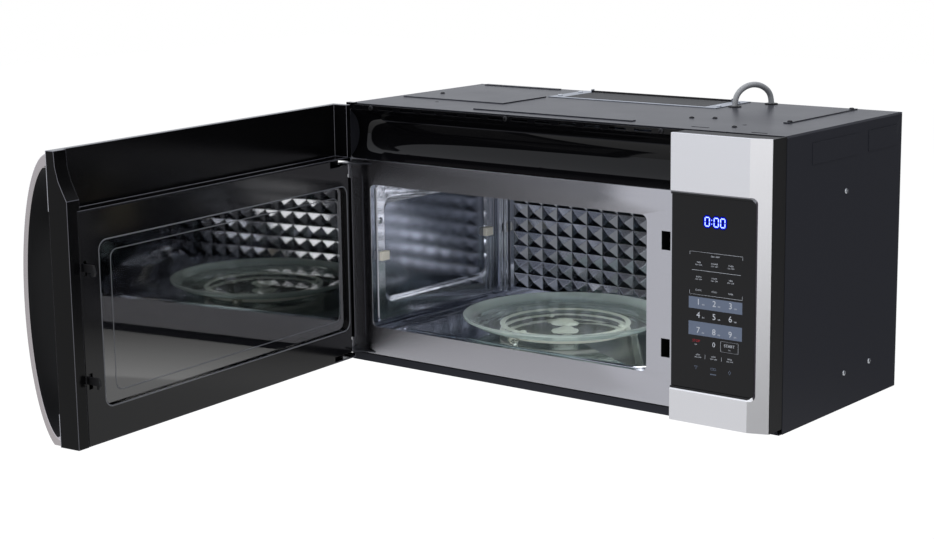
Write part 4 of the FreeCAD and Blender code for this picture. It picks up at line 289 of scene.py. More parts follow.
def finish(name):
    """The material of that name in RECIPES, made the first time it is asked for."""
    if name in bpy.data.materials:
        return bpy.data.materials[name]
    r = {**RECIPE_USUAL, **RECIPES[name]}
    colour = tuple(getattr(colours(), r["hex"])) if hasattr(colours(), r["hex"]) else linear(r["hex"])
    material, tree = new_material(name)
    place = add(tree, "ShaderNodeTexCoord").outputs["Object"]
    grain_mm = r["grain_mm"] if isinstance(r["grain_mm"], tuple) else (r["grain_mm"],) * 3
    grain = add(tree, "ShaderNodeMapping", {"Vector": place, "Scale": tuple(1 / (g * MM) for g in grain_mm)})
    fine = add(tree, "ShaderNodeTexNoise", {"Vector": grain.outputs["Vector"], "Scale": 1.0, "Detail": 3.0})
    patch = add(tree, "ShaderNodeTexNoise", {"Vector": place, "Scale": 1 / (PATCH_MM * MM), "Detail": 2.0})
    rough = add(tree, "ShaderNodeMapRange", {
        "Value": patch.outputs["Fac"], "To Min": max(r["rough"] - r["swing"], 0.0),
        "To Max": r["rough"] + r["swing"]})
    bump = add(tree, "ShaderNodeBump", {
        "Height": fine.outputs["Fac"], "Distance": r["depth_mm"] * MM, "Strength": 1.0})
    inputs = {"Roughness": rough.outputs["Result"], "Normal": bump.outputs["Normal"], "Metallic": r["metal"],
              "Transmission Weight": r["through"], "Base Color": (*colour, 1)}
    if not r["metal"]:
        inputs["Specular IOR Level"] = r["shine"]
    if r["tone"]:
        level = add(tree, "ShaderNodeMapRange", {
            "Value": fine.outputs["Fac"], "From Min": 0.3, "From Max": 0.7, "To Min": 1 - r["tone"],
            "To Max": 1 + r["tone"]})
        scaled = add(tree, "ShaderNodeVectorMath", {
            0: colour, "Scale": level.outputs["Result"]}, operation="SCALE")
        inputs["Base Color"] = scaled.outputs["Vector"]
    if r["brushed"]:
        along = add(tree, "ShaderNodeTangent", direction_type="UV_MAP", uv_map="grain")
        inputs.update({"Anisotropic": r["brushed"], "Tangent": along.outputs["Tangent"]})
    if r["through"]:
        inputs["IOR"] = GLASS_INDEX
    shader = add(tree, "ShaderNodeBsdfPrincipled", inputs)
    surface = shader.outputs["BSDF"]
    if r["through"]:
        # Light reaches what lies behind clear pieces: their shadow is thin.
        shadow = add(tree, "ShaderNodeLightPath")
        clear = add(tree, "ShaderNodeBsdfTransparent", {"Color": (*colour, 1)})
        surface = add(tree, "ShaderNodeMixShader", {
            0: shadow.outputs["Is Shadow Ray"], 1: surface, 2: clear.outputs["BSDF"]}).outputs["Shader"]
    add(tree, "ShaderNodeOutputMaterial", {"Surface": surface})
    return material


def glowing(name, colour, strength):
    """Light of a lit segment, seen through the glass."""
    material, tree = new_material(name)
    light = add(tree, "ShaderNodeEmission", {"Color": (*colour, 1), "Strength": strength})
    add(tree, "ShaderNodeOutputMaterial", {"Surface": light.outputs["Emission"]})
    return material


def tinted_pane(name, tint, index):
    """Grey float glass with a thin metal film: a clear mirror in front of dim daylight."""
    material, tree = new_material(name)
    clear = add(tree, "ShaderNodeBsdfTransparent", {"Color": (*linear(tint), 1)})
    mirror = add(tree, "ShaderNodeBsdfGlossy", {"Color": (1, 1, 1, 1), "Roughness": PANE_ROUGHNESS})
    share = add(tree, "ShaderNodeFresnel", {"IOR": index})
    both = add(tree, "ShaderNodeMixShader", {
        0: share.outputs["Fac"], 1: clear.outputs["BSDF"], 2: mirror.outputs["BSDF"]})
    add(tree, "ShaderNodeOutputMaterial", {"Surface": both.outputs["Shader"]})
    return material


def pressed_tray_glass():
    """Pressed soda lime glass of the tray: clear, greenish at its edges, with a haze of washes and a painted
    highlight at the rim.
    """
    material, tree = new_material("washed_pressed_glass")
    # The haze grows with the distance from the turntable's axis: a painted highlight makes the bowed rim whiter
    # than the middle.
    place = add(tree, "ShaderNodeTexCoord").outputs["Object"]
    level = add(tree, "ShaderNodeVectorMath", {
        0: place, 1: (1, 1, 0), 2: (-TABLE_AXIS[0] * MM, -TABLE_AXIS[1] * MM, 0)}, operation="MULTIPLY_ADD")
    radius = add(tree, "ShaderNodeVectorMath", {0: level.outputs["Vector"]}, operation="LENGTH")
    clear = add(tree, "ShaderNodeBsdfTransparent", {"Color": (*linear("edf4f2"), 1)})
    haze = add(tree, "ShaderNodeBsdfDiffuse", {"Color": (*linear("eaf4f1"), 1)})
    through = add(tree, "ShaderNodeBsdfTranslucent", {"Color": (*linear("e2f3ee"), 1)})
    milky = add(tree, "ShaderNodeMixShader", {0: 0.5, 1: haze.outputs["BSDF"], 2: through.outputs["BSDF"]})
    share = add(tree, "ShaderNodeMapRange", {
        "Value": radius.outputs["Value"], "From Min": TRAY_HAZE_AND_RIM_HIGHLIGHT["near"], "From Max": TRAY_HAZE_AND_RIM_HIGHLIGHT["far"],
        "To Min": TRAY_HAZE_AND_RIM_HIGHLIGHT["least"], "To Max": TRAY_HAZE_AND_RIM_HIGHLIGHT["most"]})
    body = add(tree, "ShaderNodeMixShader", {
        0: share.outputs["Result"], 1: clear.outputs["BSDF"], 2: milky.outputs["Shader"]})
    mirror = add(tree, "ShaderNodeBsdfGlossy", {"Color": (1, 1, 1, 1), "Roughness": PANE_ROUGHNESS})
    fresnel = add(tree, "ShaderNodeFresnel", {"IOR": TRAY_INDEX})
    both = add(tree, "ShaderNodeMixShader", {
        0: fresnel.outputs["Fac"], 1: body.outputs["Shader"], 2: mirror.outputs["BSDF"]})
    add(tree, "ShaderNodeOutputMaterial", {"Surface": both.outputs["Shader"]})
    return material


def perforated_screen():
    """Black enamelled sheet with punched holes in staggered rows."""
    material, tree = new_material("perforated_screen")
    place = add(tree, "ShaderNodeTexCoord").outputs["Object"]
    parts = add(tree, "ShaderNodeSeparateXYZ", {"Vector": place})
    waves = []
    for axis in ("Y", "Z"):
        turned = add(tree, "ShaderNodeMath", {
            0: parts.outputs[axis], 1: 2 * math.pi / sizes().screen_pitch}, operation="MULTIPLY")
        wave = add(tree, "ShaderNodeMath", {0: turned.outputs["Value"]}, operation="COSINE")
        waves.append(wave.outputs["Value"])
    both = add(tree, "ShaderNodeMath", {0: waves[0], 1: waves[1]}, operation="MULTIPLY")
    hole = add(tree, "ShaderNodeMath", {0: both.outputs["Value"], 1: 0.03}, operation="GREATER_THAN")
    sheet = add(tree, "ShaderNodeBsdfPrincipled", {
        "Base Color": (*linear("0a0a0b"), 1), "Roughness": 0.3, "Specular IOR Level": 0.3})
    clear = add(tree, "ShaderNodeBsdfTransparent", {"Color": (1, 1, 1, 1)})
    mixed = add(tree, "ShaderNodeMixShader", {
        0: hole.outputs["Value"], 1: sheet.outputs["BSDF"], 2: clear.outputs["BSDF"]})
    add(tree, "ShaderNodeOutputMaterial", {"Surface": mixed.outputs["Shader"]})
    return material


# ---------------------------------------------------------------- mesh tools

FLAT_ANGLE = 0.3            # degrees between triangles of one flat face
EDGE_ANGLE = 12.0           # degrees between the faces of an edge that is rounded
MANY_CORNERS = 8            # a flat face with more corners takes its own normal
CORNER_STEPS = 8
WORK_MERGE_MM = 0.002
CAD_MERGE = 2e-6            # metres, as are the next two
SHORTEST_EDGE = 1e-5
SEAM_REACH = 1e-5


def door_swing(angle=-DOOR_OPEN):
    """The turn about the door's hinge, in millimetres, from the closed door to the open one."""
    pin = Matrix.Translation((*DOOR_AXIS, 0))
    return pin @ Matrix.Rotation(math.radians(angle), 4, "Z") @ pin.inverted()


def rounded(x0, x1, y0, y1, radius, steps=6):
    """Points round a rectangle with round corners."""
    points = []
    for cx, cy, start in ((x1 - radius, y0 + radius, -90), (x1 - radius, y1 - radius, 0),
                          (x0 + radius, y1 - radius, 90), (x0 + radius, y0 + radius, 180)):
        for i in range(steps + 1):
            a = math.radians(start + 90 * i / steps)
            points.append((cx + radius * math.cos(a), cy + radius * math.sin(a)))
    return points


def join_flat(bm):
    """Joins the triangles of flat faces, so that only real edges are rounded."""
    bmesh.ops.join_triangles(bm, faces=bm.faces, angle_face_threshold=math.radians(FLAT_ANGLE),
                             cmp_materials=True, angle_shape_threshold=math.pi)


def mesh_of(bm, name):
    """A plain mesh made of a bmesh, which is freed."""
    mesh = bpy.data.meshes.new(name)
    bm.to_mesh(mesh)
    bm.free()
    return mesh


def linked(name, data):
    """An object with that data, in the scene."""
    thing = bpy.data.objects.new(name, data)
    bpy.context.scene.collection.objects.link(thing)
    return thing


def baked(thing):
    """The mesh that an object shows, with its modifiers applied."""
    bpy.context.view_layer.update()
    return bpy.data.meshes.new_from_object(thing.evaluated_get(bpy.context.evaluated_depsgraph_get()))


class Work:
    """A mesh in the making, in millimetres."""

    def __init__(self):
        self.bm = bmesh.new()

    def ring(self, points):
        return [self.bm.verts.new(p) for p in points]

    def face(self, points, kind=0):
        made = self.bm.faces.new(self.ring(points))
        made.material_index = kind
        return made

    def skin(self, a, b, closed=True, kind=0):
        """Faces between two rings with as many points."""
        for i in range(len(a) if closed else len(a) - 1):
            j = (i + 1) % len(a)
            self.bm.faces.new((a[i], a[j], b[j], b[i])).material_index = kind

    def loft(self, loops, first=True, last=True, kind=0):
        """A skin through loops of points, with its ends closed."""
        rings = [self.ring(loop) for loop in loops]
        for a, b in zip(rings, rings[1:]):
            self.skin(a, b, kind=kind)
        for wanted, ring in ((first, rings[0]), (last, rings[-1])):
            if wanted:
                self.bm.faces.new(ring).material_index = kind
        return rings

    def plate(self, outer, holes, place, near, far, kind=0):
        """A flat plate with holes. place(u, v, w) gives a point of the plate's plane at depth w."""
        sides = []
        for w in (near, far):
            rings = [self.ring([place(u, v, w) for u, v in loop]) for loop in (outer, *holes)]
            edges = [self.bm.edges.new((r[i], r[(i + 1) % len(r)])) for r in rings for i in range(len(r))]
            filled = bmesh.ops.triangle_fill(self.bm, edges=edges, use_beauty=True, use_dissolve=False)
            for part in filled["geom"]:
                if isinstance(part, bmesh.types.BMFace):
                    part.material_index = kind
            sides.append(rings)
        for a, b in zip(*sides):
            self.skin(a, b, kind=kind)

    def lathe(self, profile, centre, axis="Z", steps=64, kind=0):
        """A turned piece. profile holds (radius, height) pairs, and is closed if it ends where it starts."""
        turn = {"Z": lambda r, h, c, s: (r * c, r * s, h), "X": lambda r, h, c, s: (h, r * c, r * s)}[axis]
        columns = []
        for i in range(steps):
            a = 2 * math.pi * i / steps
            columns.append(self.ring([tuple(p + q for p, q in zip(centre, turn(r, h, math.cos(a), math.sin(a))))
                                      for r, h in profile]))
        for i in range(steps):
            self.skin(columns[i], columns[(i + 1) % steps], closed=False, kind=kind)

    def mesh(self, name, turn=None, flat=False):
        """The finished mesh, in metres."""
        bmesh.ops.remove_doubles(self.bm, verts=self.bm.verts, dist=WORK_MERGE_MM)
        if flat:
            join_flat(self.bm)
        bmesh.ops.recalc_face_normals(self.bm, faces=self.bm.faces)
        bmesh.ops.transform(self.bm, matrix=Matrix.Scale(MM, 4) @ (turn or Matrix()), verts=self.bm.verts)
        return mesh_of(self.bm, name)

    def done(self, name, body, finishes, slot, replaces=(), bevel=0.0, angle=EDGE_ANGLE, turn=None, grain=None,
             flat=True):
        """Turns the mesh into a piece that rides on a body."""
        return settle(self.mesh(name, turn, flat), name, body, finishes, replaces, bevel, angle, grain)


def brush(mesh, along, across):
    """Lays the brushing: a map whose U runs across the scratches, the way they smear reflections."""
    layer = mesh.uv_layers.new(name="grain")
    for loop in mesh.loops:
        point = mesh.vertices[loop.vertex_index].co
        layer.data[loop.index].uv = (point.dot(along), point.dot(across))


def settle(mesh, name, body, finishes, replaces=(), bevel=0.0, angle=EDGE_ANGLE, grain=None,
           edge_kind=-1):
    """Makes the object, rounds and smooths it, and hangs it on its body."""
    piece = linked(name, mesh)
    for material in ([finishes] if isinstance(finishes, (str, bpy.types.Material)) else finishes):
        mesh.materials.append(finish(material) if isinstance(material, str) else material)
    if grain:
        brush(mesh, *[Vector(axis) for axis in grain])
    mesh.shade_smooth()
    if bevel:
        round_off = piece.modifiers.new("round", "BEVEL")
        round_off.width = bevel
        round_off.segments = 2
        round_off.limit_method = "ANGLE"
        round_off.angle_limit = math.radians(angle)
        round_off.use_clamp_overlap = False
        round_off.face_strength_mode = "FSTR_ALL"
        round_off.material = edge_kind
    else:
        mesh.set_sharp_from_angle(angle=math.radians(angle))
    # Large faces stay flat: they lead the normals of the points that they share with their rounded edges.
    even = piece.modifiers.new("even", "WEIGHTED_NORMAL")
    even.mode = "FACE_AREA"
    even.weight = 50
    even.use_face_influence = bool(bevel)
    even.keep_sharp = not bevel
    made = baked(piece)
    piece.modifiers.clear()
    piece.data = made
    bpy.data.meshes.remove(mesh)
    made.name = name
    # A flat face with holes is cut in slivers when it is drawn: all its corners take its own normal.
    normals = [corner.vector.copy() for corner in made.corner_normals]
    for face in made.polygons:
        if len(face.vertices) > MANY_CORNERS:
            for loop in face.loop_indices:
                normals[loop] = face.normal.copy()
    made.normals_split_custom_set(normals)
    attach(piece, body)
    if replaces:
        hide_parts(*([replaces] if isinstance(replaces, str) else replaces))
    return piece


def softened(node, slot, finishes=None, bevel=None, angle=EDGE_ANGLE, grain=None, paint_faces=None, inner=None,
             edge_kind=-1):
    """A CAD node's shape with its doubled points merged, its flat faces joined and its edges rounded.

    paint_faces(face) gives the number of a face's finish, and inner(face) says which faces go."""
    bm = bmesh.new()
    bm.from_mesh(NODES[node].data)
    bmesh.ops.remove_doubles(bm, verts=bm.verts, dist=CAD_MERGE)
    if inner:
        # Faces inside, where solids of one real piece meet.
        bmesh.ops.delete(bm, geom=[face for face in bm.faces if inner(face)], context="FACES_ONLY")
    bmesh.ops.dissolve_degenerate(bm, edges=bm.edges, dist=SHORTEST_EDGE)
    join_flat(bm)
    bmesh.ops.recalc_face_normals(bm, faces=bm.faces)
    for face in bm.faces:
        face.material_index = paint_faces(face) if paint_faces else 0
    name = node + "_look"
    return settle(mesh_of(bm, name), name, NODES[node]["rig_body"], finishes or SLOT_FINISH[slot], node,
                  sizes().sheet_edge if bevel is None else bevel, angle, grain, edge_kind)


# A pressed bead's section: shares of its width and of its height.
BEAD_SHAPE = ((0.0, 0.0), (0.12, 0.5), (0.32, 0.92), (0.5, 1.0), (0.68, 0.92), (0.88, 0.5), (1.0, 0.0))
BEAD_LEAST_CORNER = 0.5


def pressed_ring(work, box, corner, wide, high, place):
    """A round pressed bead along a rectangle with round corners. place(u, v, h) gives a point at height h."""
    x0, x1, y0, y1 = box
    loops = []
    for t, h in BEAD_SHAPE:
        inset = t * wide
        loop = rounded(x0 + inset, x1 - inset, y0 + inset, y1 - inset, max(corner - inset, BEAD_LEAST_CORNER),
                       CORNER_STEPS)
        loops.append([place(u, v, h * high) for u, v in loop])
    work.loft(loops, first=False, last=False)


def islands(node):
    """The vertices of each loose part of a CAD node."""
    bm = bmesh.new()
    bm.from_mesh(NODES[node].data)
    bmesh.ops.remove_doubles(bm, verts=bm.verts, dist=CAD_MERGE)
    left, found = set(bm.verts), []
    while left:
        part, edge = set(), [left.pop()]
        while edge:
            vert = edge.pop()
            part.add(vert)
            for link in vert.link_edges:
                other = link.other_vert(vert)
                if other in left:
                    left.discard(other)
                    edge.append(other)
        found.append(np.array([v.co for v in part]))
    bm.free()
    return sorted(found, key=lambda points: tuple(points.mean(0)))


def instanced(name, points, facings, shape, finish_name, body, slot, replaces=()):
    """Puts a shape on each point with Geometry Nodes, its Z along the point's facing, as one plain piece."""
    mesh = bpy.data.meshes.new(name + "_points")
    mesh.from_pydata(points, [], [])
    facing = mesh.attributes.new("facing", "FLOAT_VECTOR", "POINT")
    for entry, direction in zip(facing.data, facings):
        entry.vector = direction
    carrier = linked(name + "_points", mesh)
    tree = bpy.data.node_groups.new(name, "GeometryNodeTree")
    sockets = {label: tree.interface.new_socket(label, in_out="INPUT", socket_type=kind).identifier
               for label, kind in (("Geometry", "NodeSocketGeometry"), ("Shape", "NodeSocketObject"),
                                   ("Finish", "NodeSocketMaterial"))}
    tree.interface.new_socket("Geometry", in_out="OUTPUT", socket_type="NodeSocketGeometry")
    given = add(tree, "NodeGroupInput")
    info = add(tree, "GeometryNodeObjectInfo", {"Object": given.outputs["Shape"]}, transform_space="ORIGINAL")
    named = add(tree, "GeometryNodeInputNamedAttribute", {"Name": "facing"}, data_type="FLOAT_VECTOR")
    turn = add(tree, "FunctionNodeAlignRotationToVector", {"Vector": named.outputs["Attribute"]}, axis="Z")
    placed = add(tree, "GeometryNodeInstanceOnPoints", {
        "Points": given.outputs["Geometry"], "Instance": info.outputs["Geometry"],
        "Rotation": turn.outputs["Rotation"]})
    real = add(tree, "GeometryNodeRealizeInstances", {"Geometry": placed.outputs["Instances"]})
    coated = add(tree, "GeometryNodeSetMaterial", {
        "Geometry": real.outputs["Geometry"], "Material": given.outputs["Finish"]})
    add(tree, "NodeGroupOutput", {"Geometry": coated.outputs["Geometry"]})
    repeat = carrier.modifiers.new("repeat", "NODES")
    repeat.node_group = tree
    repeat[sockets["Shape"]] = shape
    repeat[sockets["Finish"]] = finish(finish_name)
    made = baked(carrier)
    carrier.modifiers.clear()
    bpy.data.objects.remove(carrier)
    made.materials.clear()
    return settle(made, name, body, finish_name, replaces, angle=30)


CAPITAL_SHARE = 0.72        # height of a capital in the font's size


def words(name, lines, finish_name, depth):
    """Printed words on the touch glass. lines holds (text, x, z, height) in millimetres."""
    work = Work()
    for text, x, z, height in lines:
        curve = bpy.data.curves.new("letters", "FONT")
        curve.body = text
        curve.size = height / CAPITAL_SHARE
        curve.align_x = "CENTER"
        curve.align_y = "CENTER"
        curve.resolution_u = 3
        letters = linked("letters", curve)
        mesh = baked(letters)
        mesh.transform(Matrix.Translation((x, depth, z)) @ Matrix.Rotation(math.pi / 2, 4, "X"))
        work.bm.from_mesh(mesh)
        bpy.data.meshes.remove(mesh)
        bpy.data.objects.remove(letters)
        bpy.data.curves.remove(curve)
    return work.done(name, "cabinet", finish_name, "glass_black", flat=False)


# ---------------------------------------------------------------- operators

STEPS = []


def step(cls):
    """Keeps the operators in the order in which main calls them."""
    STEPS.append(cls)
    return cls


@step
class MICROWAVE_OT_stage(bpy.types.Operator):
    """Camera, background, floor and studio lights"""
    bl_idname = "microwave.stage"
    bl_label = "Camera and studio"

    def execute(self, context):
        scene = context.scene
        scene.view_settings.view_transform = "Standard"
        data = bpy.data.cameras.new("camera")
        data.lens = CAMERA_LENS
        data.sensor_width = CAMERA_SENSOR
        data.sensor_fit = "HORIZONTAL"
        data.clip_end = CAMERA_REACH
        camera = linked("camera", data)
        yaw, pitch, roll = CAMERA_TURNS
        camera.matrix_world = (Matrix.Translation(Vector(CAMERA_PLACE) * MM) @ Matrix.Rotation(yaw, 4, "Z")
                               @ Matrix.Rotation(math.pi / 2 - pitch, 4, "X") @ Matrix.Rotation(roll, 4, "Z"))
        scene.camera = camera
        self.world(scene)
        self.floor()
        # Each lamp: name, place, aim, size along and across, all in metres, radiance, and seen in reflections.
        lamps = [("key_light", (-1.2, -2.6, 2.6), (0, -0.3, 0.2), 1.8, 1.4, 5.0, False),
                 ("top_light", (0.2, -0.6, 2.6), (0, -0.2, 0.4), 2.2, 1.6, 3.2, False),
                 ("front_light", (0.9, -3.2, 1.2), (0, -0.3, 0.2), 1.2, 1.2, 1.6, False),
                 ("oven_light", (0.03, -0.18, 0.284), (-0.02, -0.18, 0.1), 0.24, 0.24, 3.9, True)]
        for name, place, aim, along, across, radiance, mirrored in lamps:
            light = bpy.data.lights.new(name, "AREA")
            light.shape = "RECTANGLE"
            light.size, light.size_y = along, across
            light.energy = radiance * along * across * math.pi
            lamp = linked(name, light)
            lamp.matrix_world = (Matrix.Translation(place)
                                 @ (Vector(aim) - Vector(place)).to_track_quat("-Z", "Y").to_matrix().to_4x4())
            lamp.visible_camera = False
            lamp.visible_glossy = mirrored
        return {"FINISHED"}

    def world(self, scene):
        """White where it is seen or mirrored, and dimmer for what it lights."""
        world = bpy.data.worlds.new("studio")
        world.use_nodes = True
        tree = world.node_tree
        tree.nodes.clear()
        path = add(tree, "ShaderNodeLightPath")
        seen = add(tree, "ShaderNodeMath", {
            0: path.outputs["Is Camera Ray"],
            1: path.outputs["Is Glossy Ray"]}, operation="ADD", use_clamp=True)
        seen = add(tree, "ShaderNodeMath", {
            0: seen.outputs["Value"], 1: path.outputs["Is Transmission Ray"]}, operation="ADD", use_clamp=True)
        level = add(tree, "ShaderNodeMapRange", {"Value": seen.outputs["Value"], "To Min": 0.55, "To Max": 1.0})
        tint = add(tree, "ShaderNodeMix", {
            0: path.outputs["Is Camera Ray"], 6: (0.92, 0.945, 1.0, 1), 7: (1, 1, 1, 1)}, data_type="RGBA")
        sky = add(tree, "ShaderNodeBackground", {"Color": tint.outputs[2], "Strength": level.outputs["Result"]})
        add(tree, "ShaderNodeOutputWorld", {"Surface": sky.outputs["Background"]})
        scene.world = world

    def floor(self):
        """A pale floor below the hanging unit, and two graded cards at the right that only reflections show."""
        ground, half = FLOOR_Z * MM, FLOOR_HALF
        low = ground + 0.005
        # Each sheet: name, corners in metres, and for a card the light at two heights, between which it fades.
        sheets = [("floor", ((-half, -half, ground), (half, -half, ground), (half, half, ground),
                             (-half, half, ground)), None),
                  ("back_card", ((0.48, 0.95, low), (3.4, 0.3, low), (3.4, 0.3, 1.6), (0.48, 0.95, 1.6)),
                   ((-0.44, 0.95), (-0.30, 0.12))),
                  ("front_card", ((3.4, -1.5, low), (0.42, -1.5, low), (0.42, -1.5, 1.8), (3.4, -1.5, 1.8)),
                   ((-0.36, 0.03), (0.14, 0.95)))]
        for name, corners, fade in sheets:
            mesh = bpy.data.meshes.new(name)
            mesh.from_pydata(corners, [], [(0, 1, 2, 3)])
            material, tree = new_material(name)
            if fade:
                place = add(tree, "ShaderNodeTexCoord").outputs["Object"]
                parts = add(tree, "ShaderNodeSeparateXYZ", {"Vector": place})
                (z0, v0), (z1, v1) = fade
                level = add(tree, "ShaderNodeMapRange", {
                    "Value": parts.outputs["Z"], "From Min": z0, "From Max": z1, "To Min": v0, "To Max": v1})
                lit = add(tree, "ShaderNodeEmission", {"Strength": level.outputs["Result"]})
                surface = lit.outputs["Emission"]
            else:
                # A lit plastic sheet: most of its white comes from below, so shadows on it are faint.
                matt = add(tree, "ShaderNodeBsdfDiffuse", {"Color": (*linear("f7f7f7"), 1)})
                path = add(tree, "ShaderNodeLightPath")
                level = add(tree, "ShaderNodeMapRange", {
                    "Value": path.outputs["Is Camera Ray"], "To Min": 0.62, "To Max": 1.1})
                lit = add(tree, "ShaderNodeEmission", {
                    "Color": (1, 1, 1, 1), "Strength": level.outputs["Result"]})
                surface = add(tree, "ShaderNodeMixShader", {
                    0: 0.85, 1: matt.outputs["BSDF"], 2: lit.outputs["Emission"]}).outputs["Shader"]
            add(tree, "ShaderNodeOutputMaterial", {"Surface": surface})
            mesh.materials.append(material)
            thing = linked(name, mesh)
            if fade:
                thing.visible_camera = thing.visible_diffuse = thing.visible_shadow = False
                thing.visible_transmission = False


@step
class MICROWAVE_OT_cord(bpy.types.Operator):
    """The mains lead that leaves the top and goes back in, and its two grommets"""
    bl_idname = "microwave.cord"
    bl_label = "Mains lead"

    def execute(self, context):
        curve = bpy.data.curves.new("power_cord_look", "CURVE")
        curve.dimensions = "3D"
        curve.bevel_depth = CORD_RADIUS * MM
        curve.bevel_resolution = 6
        curve.resolution_u = 12
        curve.use_fill_caps = True
        spline = curve.splines.new("NURBS")
        spline.points.add(len(CORD_ROUTE) - 1)
        for point, place in zip(spline.points, CORD_ROUTE):
            point.co = (*[c * MM for c in place], 1)
        spline.order_u = 3
        spline.use_endpoint_u = True
        curve.materials.append(finish("pvc_jacket"))
        cord = linked("power_cord_look", curve)
        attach(cord, "cabinet")
        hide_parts("power_cord")
        grommets = softened("cord_bushing", "rubber_black", bevel=0.4 * MM)
        return {"FINISHED"}


@step
class MICROWAVE_OT_cabinet(bpy.types.Operator):
    """Painted wrap with its pressed ribs, rear panel and base"""
    bl_idname = "microwave.cabinet"
    bl_label = "Cabinet"

    def execute(self, context):
        softened("outer_wrap", "paint_black", bevel=0.0)
        softened("rear_panel", "zinc_sheet")
        softened("base_plate", "zinc_sheet", "powder_coated_sheet")
        return {"FINISHED"}


@step
class MICROWAVE_OT_exhaust(bpy.types.Operator):
    """Zinc coated adapter on the top, and its flap"""
    bl_idname = "microwave.exhaust"
    bl_label = "Exhaust adapter"

    def execute(self, context):
        softened("exhaust_adapter", "zinc_sheet", bevel=0.3 * MM)
        softened("exhaust_damper", "zinc_sheet", "textured_abs", bevel=0.3 * MM)
        return {"FINISHED"}


@step
class MICROWAVE_OT_screws(bpy.types.Operator):
    """Cross recess screws, repeated where the CAD has them"""
    bl_idname = "microwave.screws"
    bl_label = "Screws"

    # Radius and height of the turned part, from the end of the shank to the edge of the recess.
    profile = ((1.9, -6.0), (1.9, -2.0), (3.7, -2.0), (3.8, -1.5), (3.4, -0.6), (2.6, -0.12))
    steps = 24
    recess = dict(long=2.1, slim=0.55, top=-0.02, foot=-1.3, taper=0.8)
    end_share = 0.1
    # The adapter's screws on the top lie left of the first line and behind the second, in metres.
    adapter_right, adapter_front = 0.14, -0.11

    def head(self):
        """A domed head with a cross recess, its top at the origin."""
        work = Work()
        turns = [2 * math.pi * i / self.steps for i in range(self.steps)]
        rings = [work.ring([(r * math.cos(a), r * math.sin(a), z) for a in turns]) for r, z in self.profile]
        for a, b in zip(rings, rings[1:]):
            work.skin(a, b)
        work.bm.faces.new(rings[0])
        long, slim, taper = (self.recess[k] for k in ("long", "slim", "taper"))
        cross = []
        for k in range(4):
            turn = Matrix.Rotation(k * math.pi / 2, 2)
            cross += [turn @ Vector(p) for p in ((long, -slim), (long, slim), (slim, slim))]
        mouth = work.ring([(p.x, p.y, self.recess["top"]) for p in cross])
        foot = work.ring([(p.x * taper, p.y * taper, self.recess["foot"]) for p in cross])
        work.skin(mouth, foot)
        work.bm.faces.new(foot)
        edges = [e for e in work.bm.edges if not e.is_manifold and len(e.link_faces) == 1]
        bmesh.ops.triangle_fill(work.bm, edges=edges, use_beauty=True)
        return linked("screw_shape", work.mesh("screw_shape"))

    def execute(self, context):
        groups = {"bright": ([], []), "black": ([], [])}
        for points in islands("cabinet_screws"):
            low, high = points.min(0), points.max(0)
            size, middle = high - low, (low + high) / 2
            # A screw is round about its axis, and its head is the wider end.
            axis = int(np.argmin([abs(size[(k + 1) % 3] - size[(k + 2) % 3]) for k in range(3)]))
            end = self.end_share * size[axis]
            ends = [points[points[:, axis] < low[axis] + end], points[points[:, axis] > high[axis] - end]]
            foot, head = (np.abs(np.delete(part - middle, axis, 1)).max() if len(part) else 0.0
                          for part in ends)
            up = head >= foot
            tip = middle.copy()
            tip[axis] = high[axis] if up else low[axis]
            facing = np.eye(3)[axis] * (1 if up else -1)
            # The screws of the adapter and of the sides are bright, and the others are black.
            on_adapter = axis == 2 and tip[0] < self.adapter_right and tip[1] > self.adapter_front
            kind = "bright" if axis == 0 or on_adapter else "black"
            groups[kind][0].append(tuple(tip))
            groups[kind][1].append(tuple(facing))
        shape = self.head()
        instanced("cabinet_screws_look", *groups["black"], shape, "black_screw_steel", "cabinet", "screw_steel",
                  "cabinet_screws")
        instanced("adapter_screws_look", *groups["bright"], shape, "plated_screw_steel", "cabinet",
                  "screw_steel")
        bpy.data.objects.remove(shape)
        return {"FINISHED"}


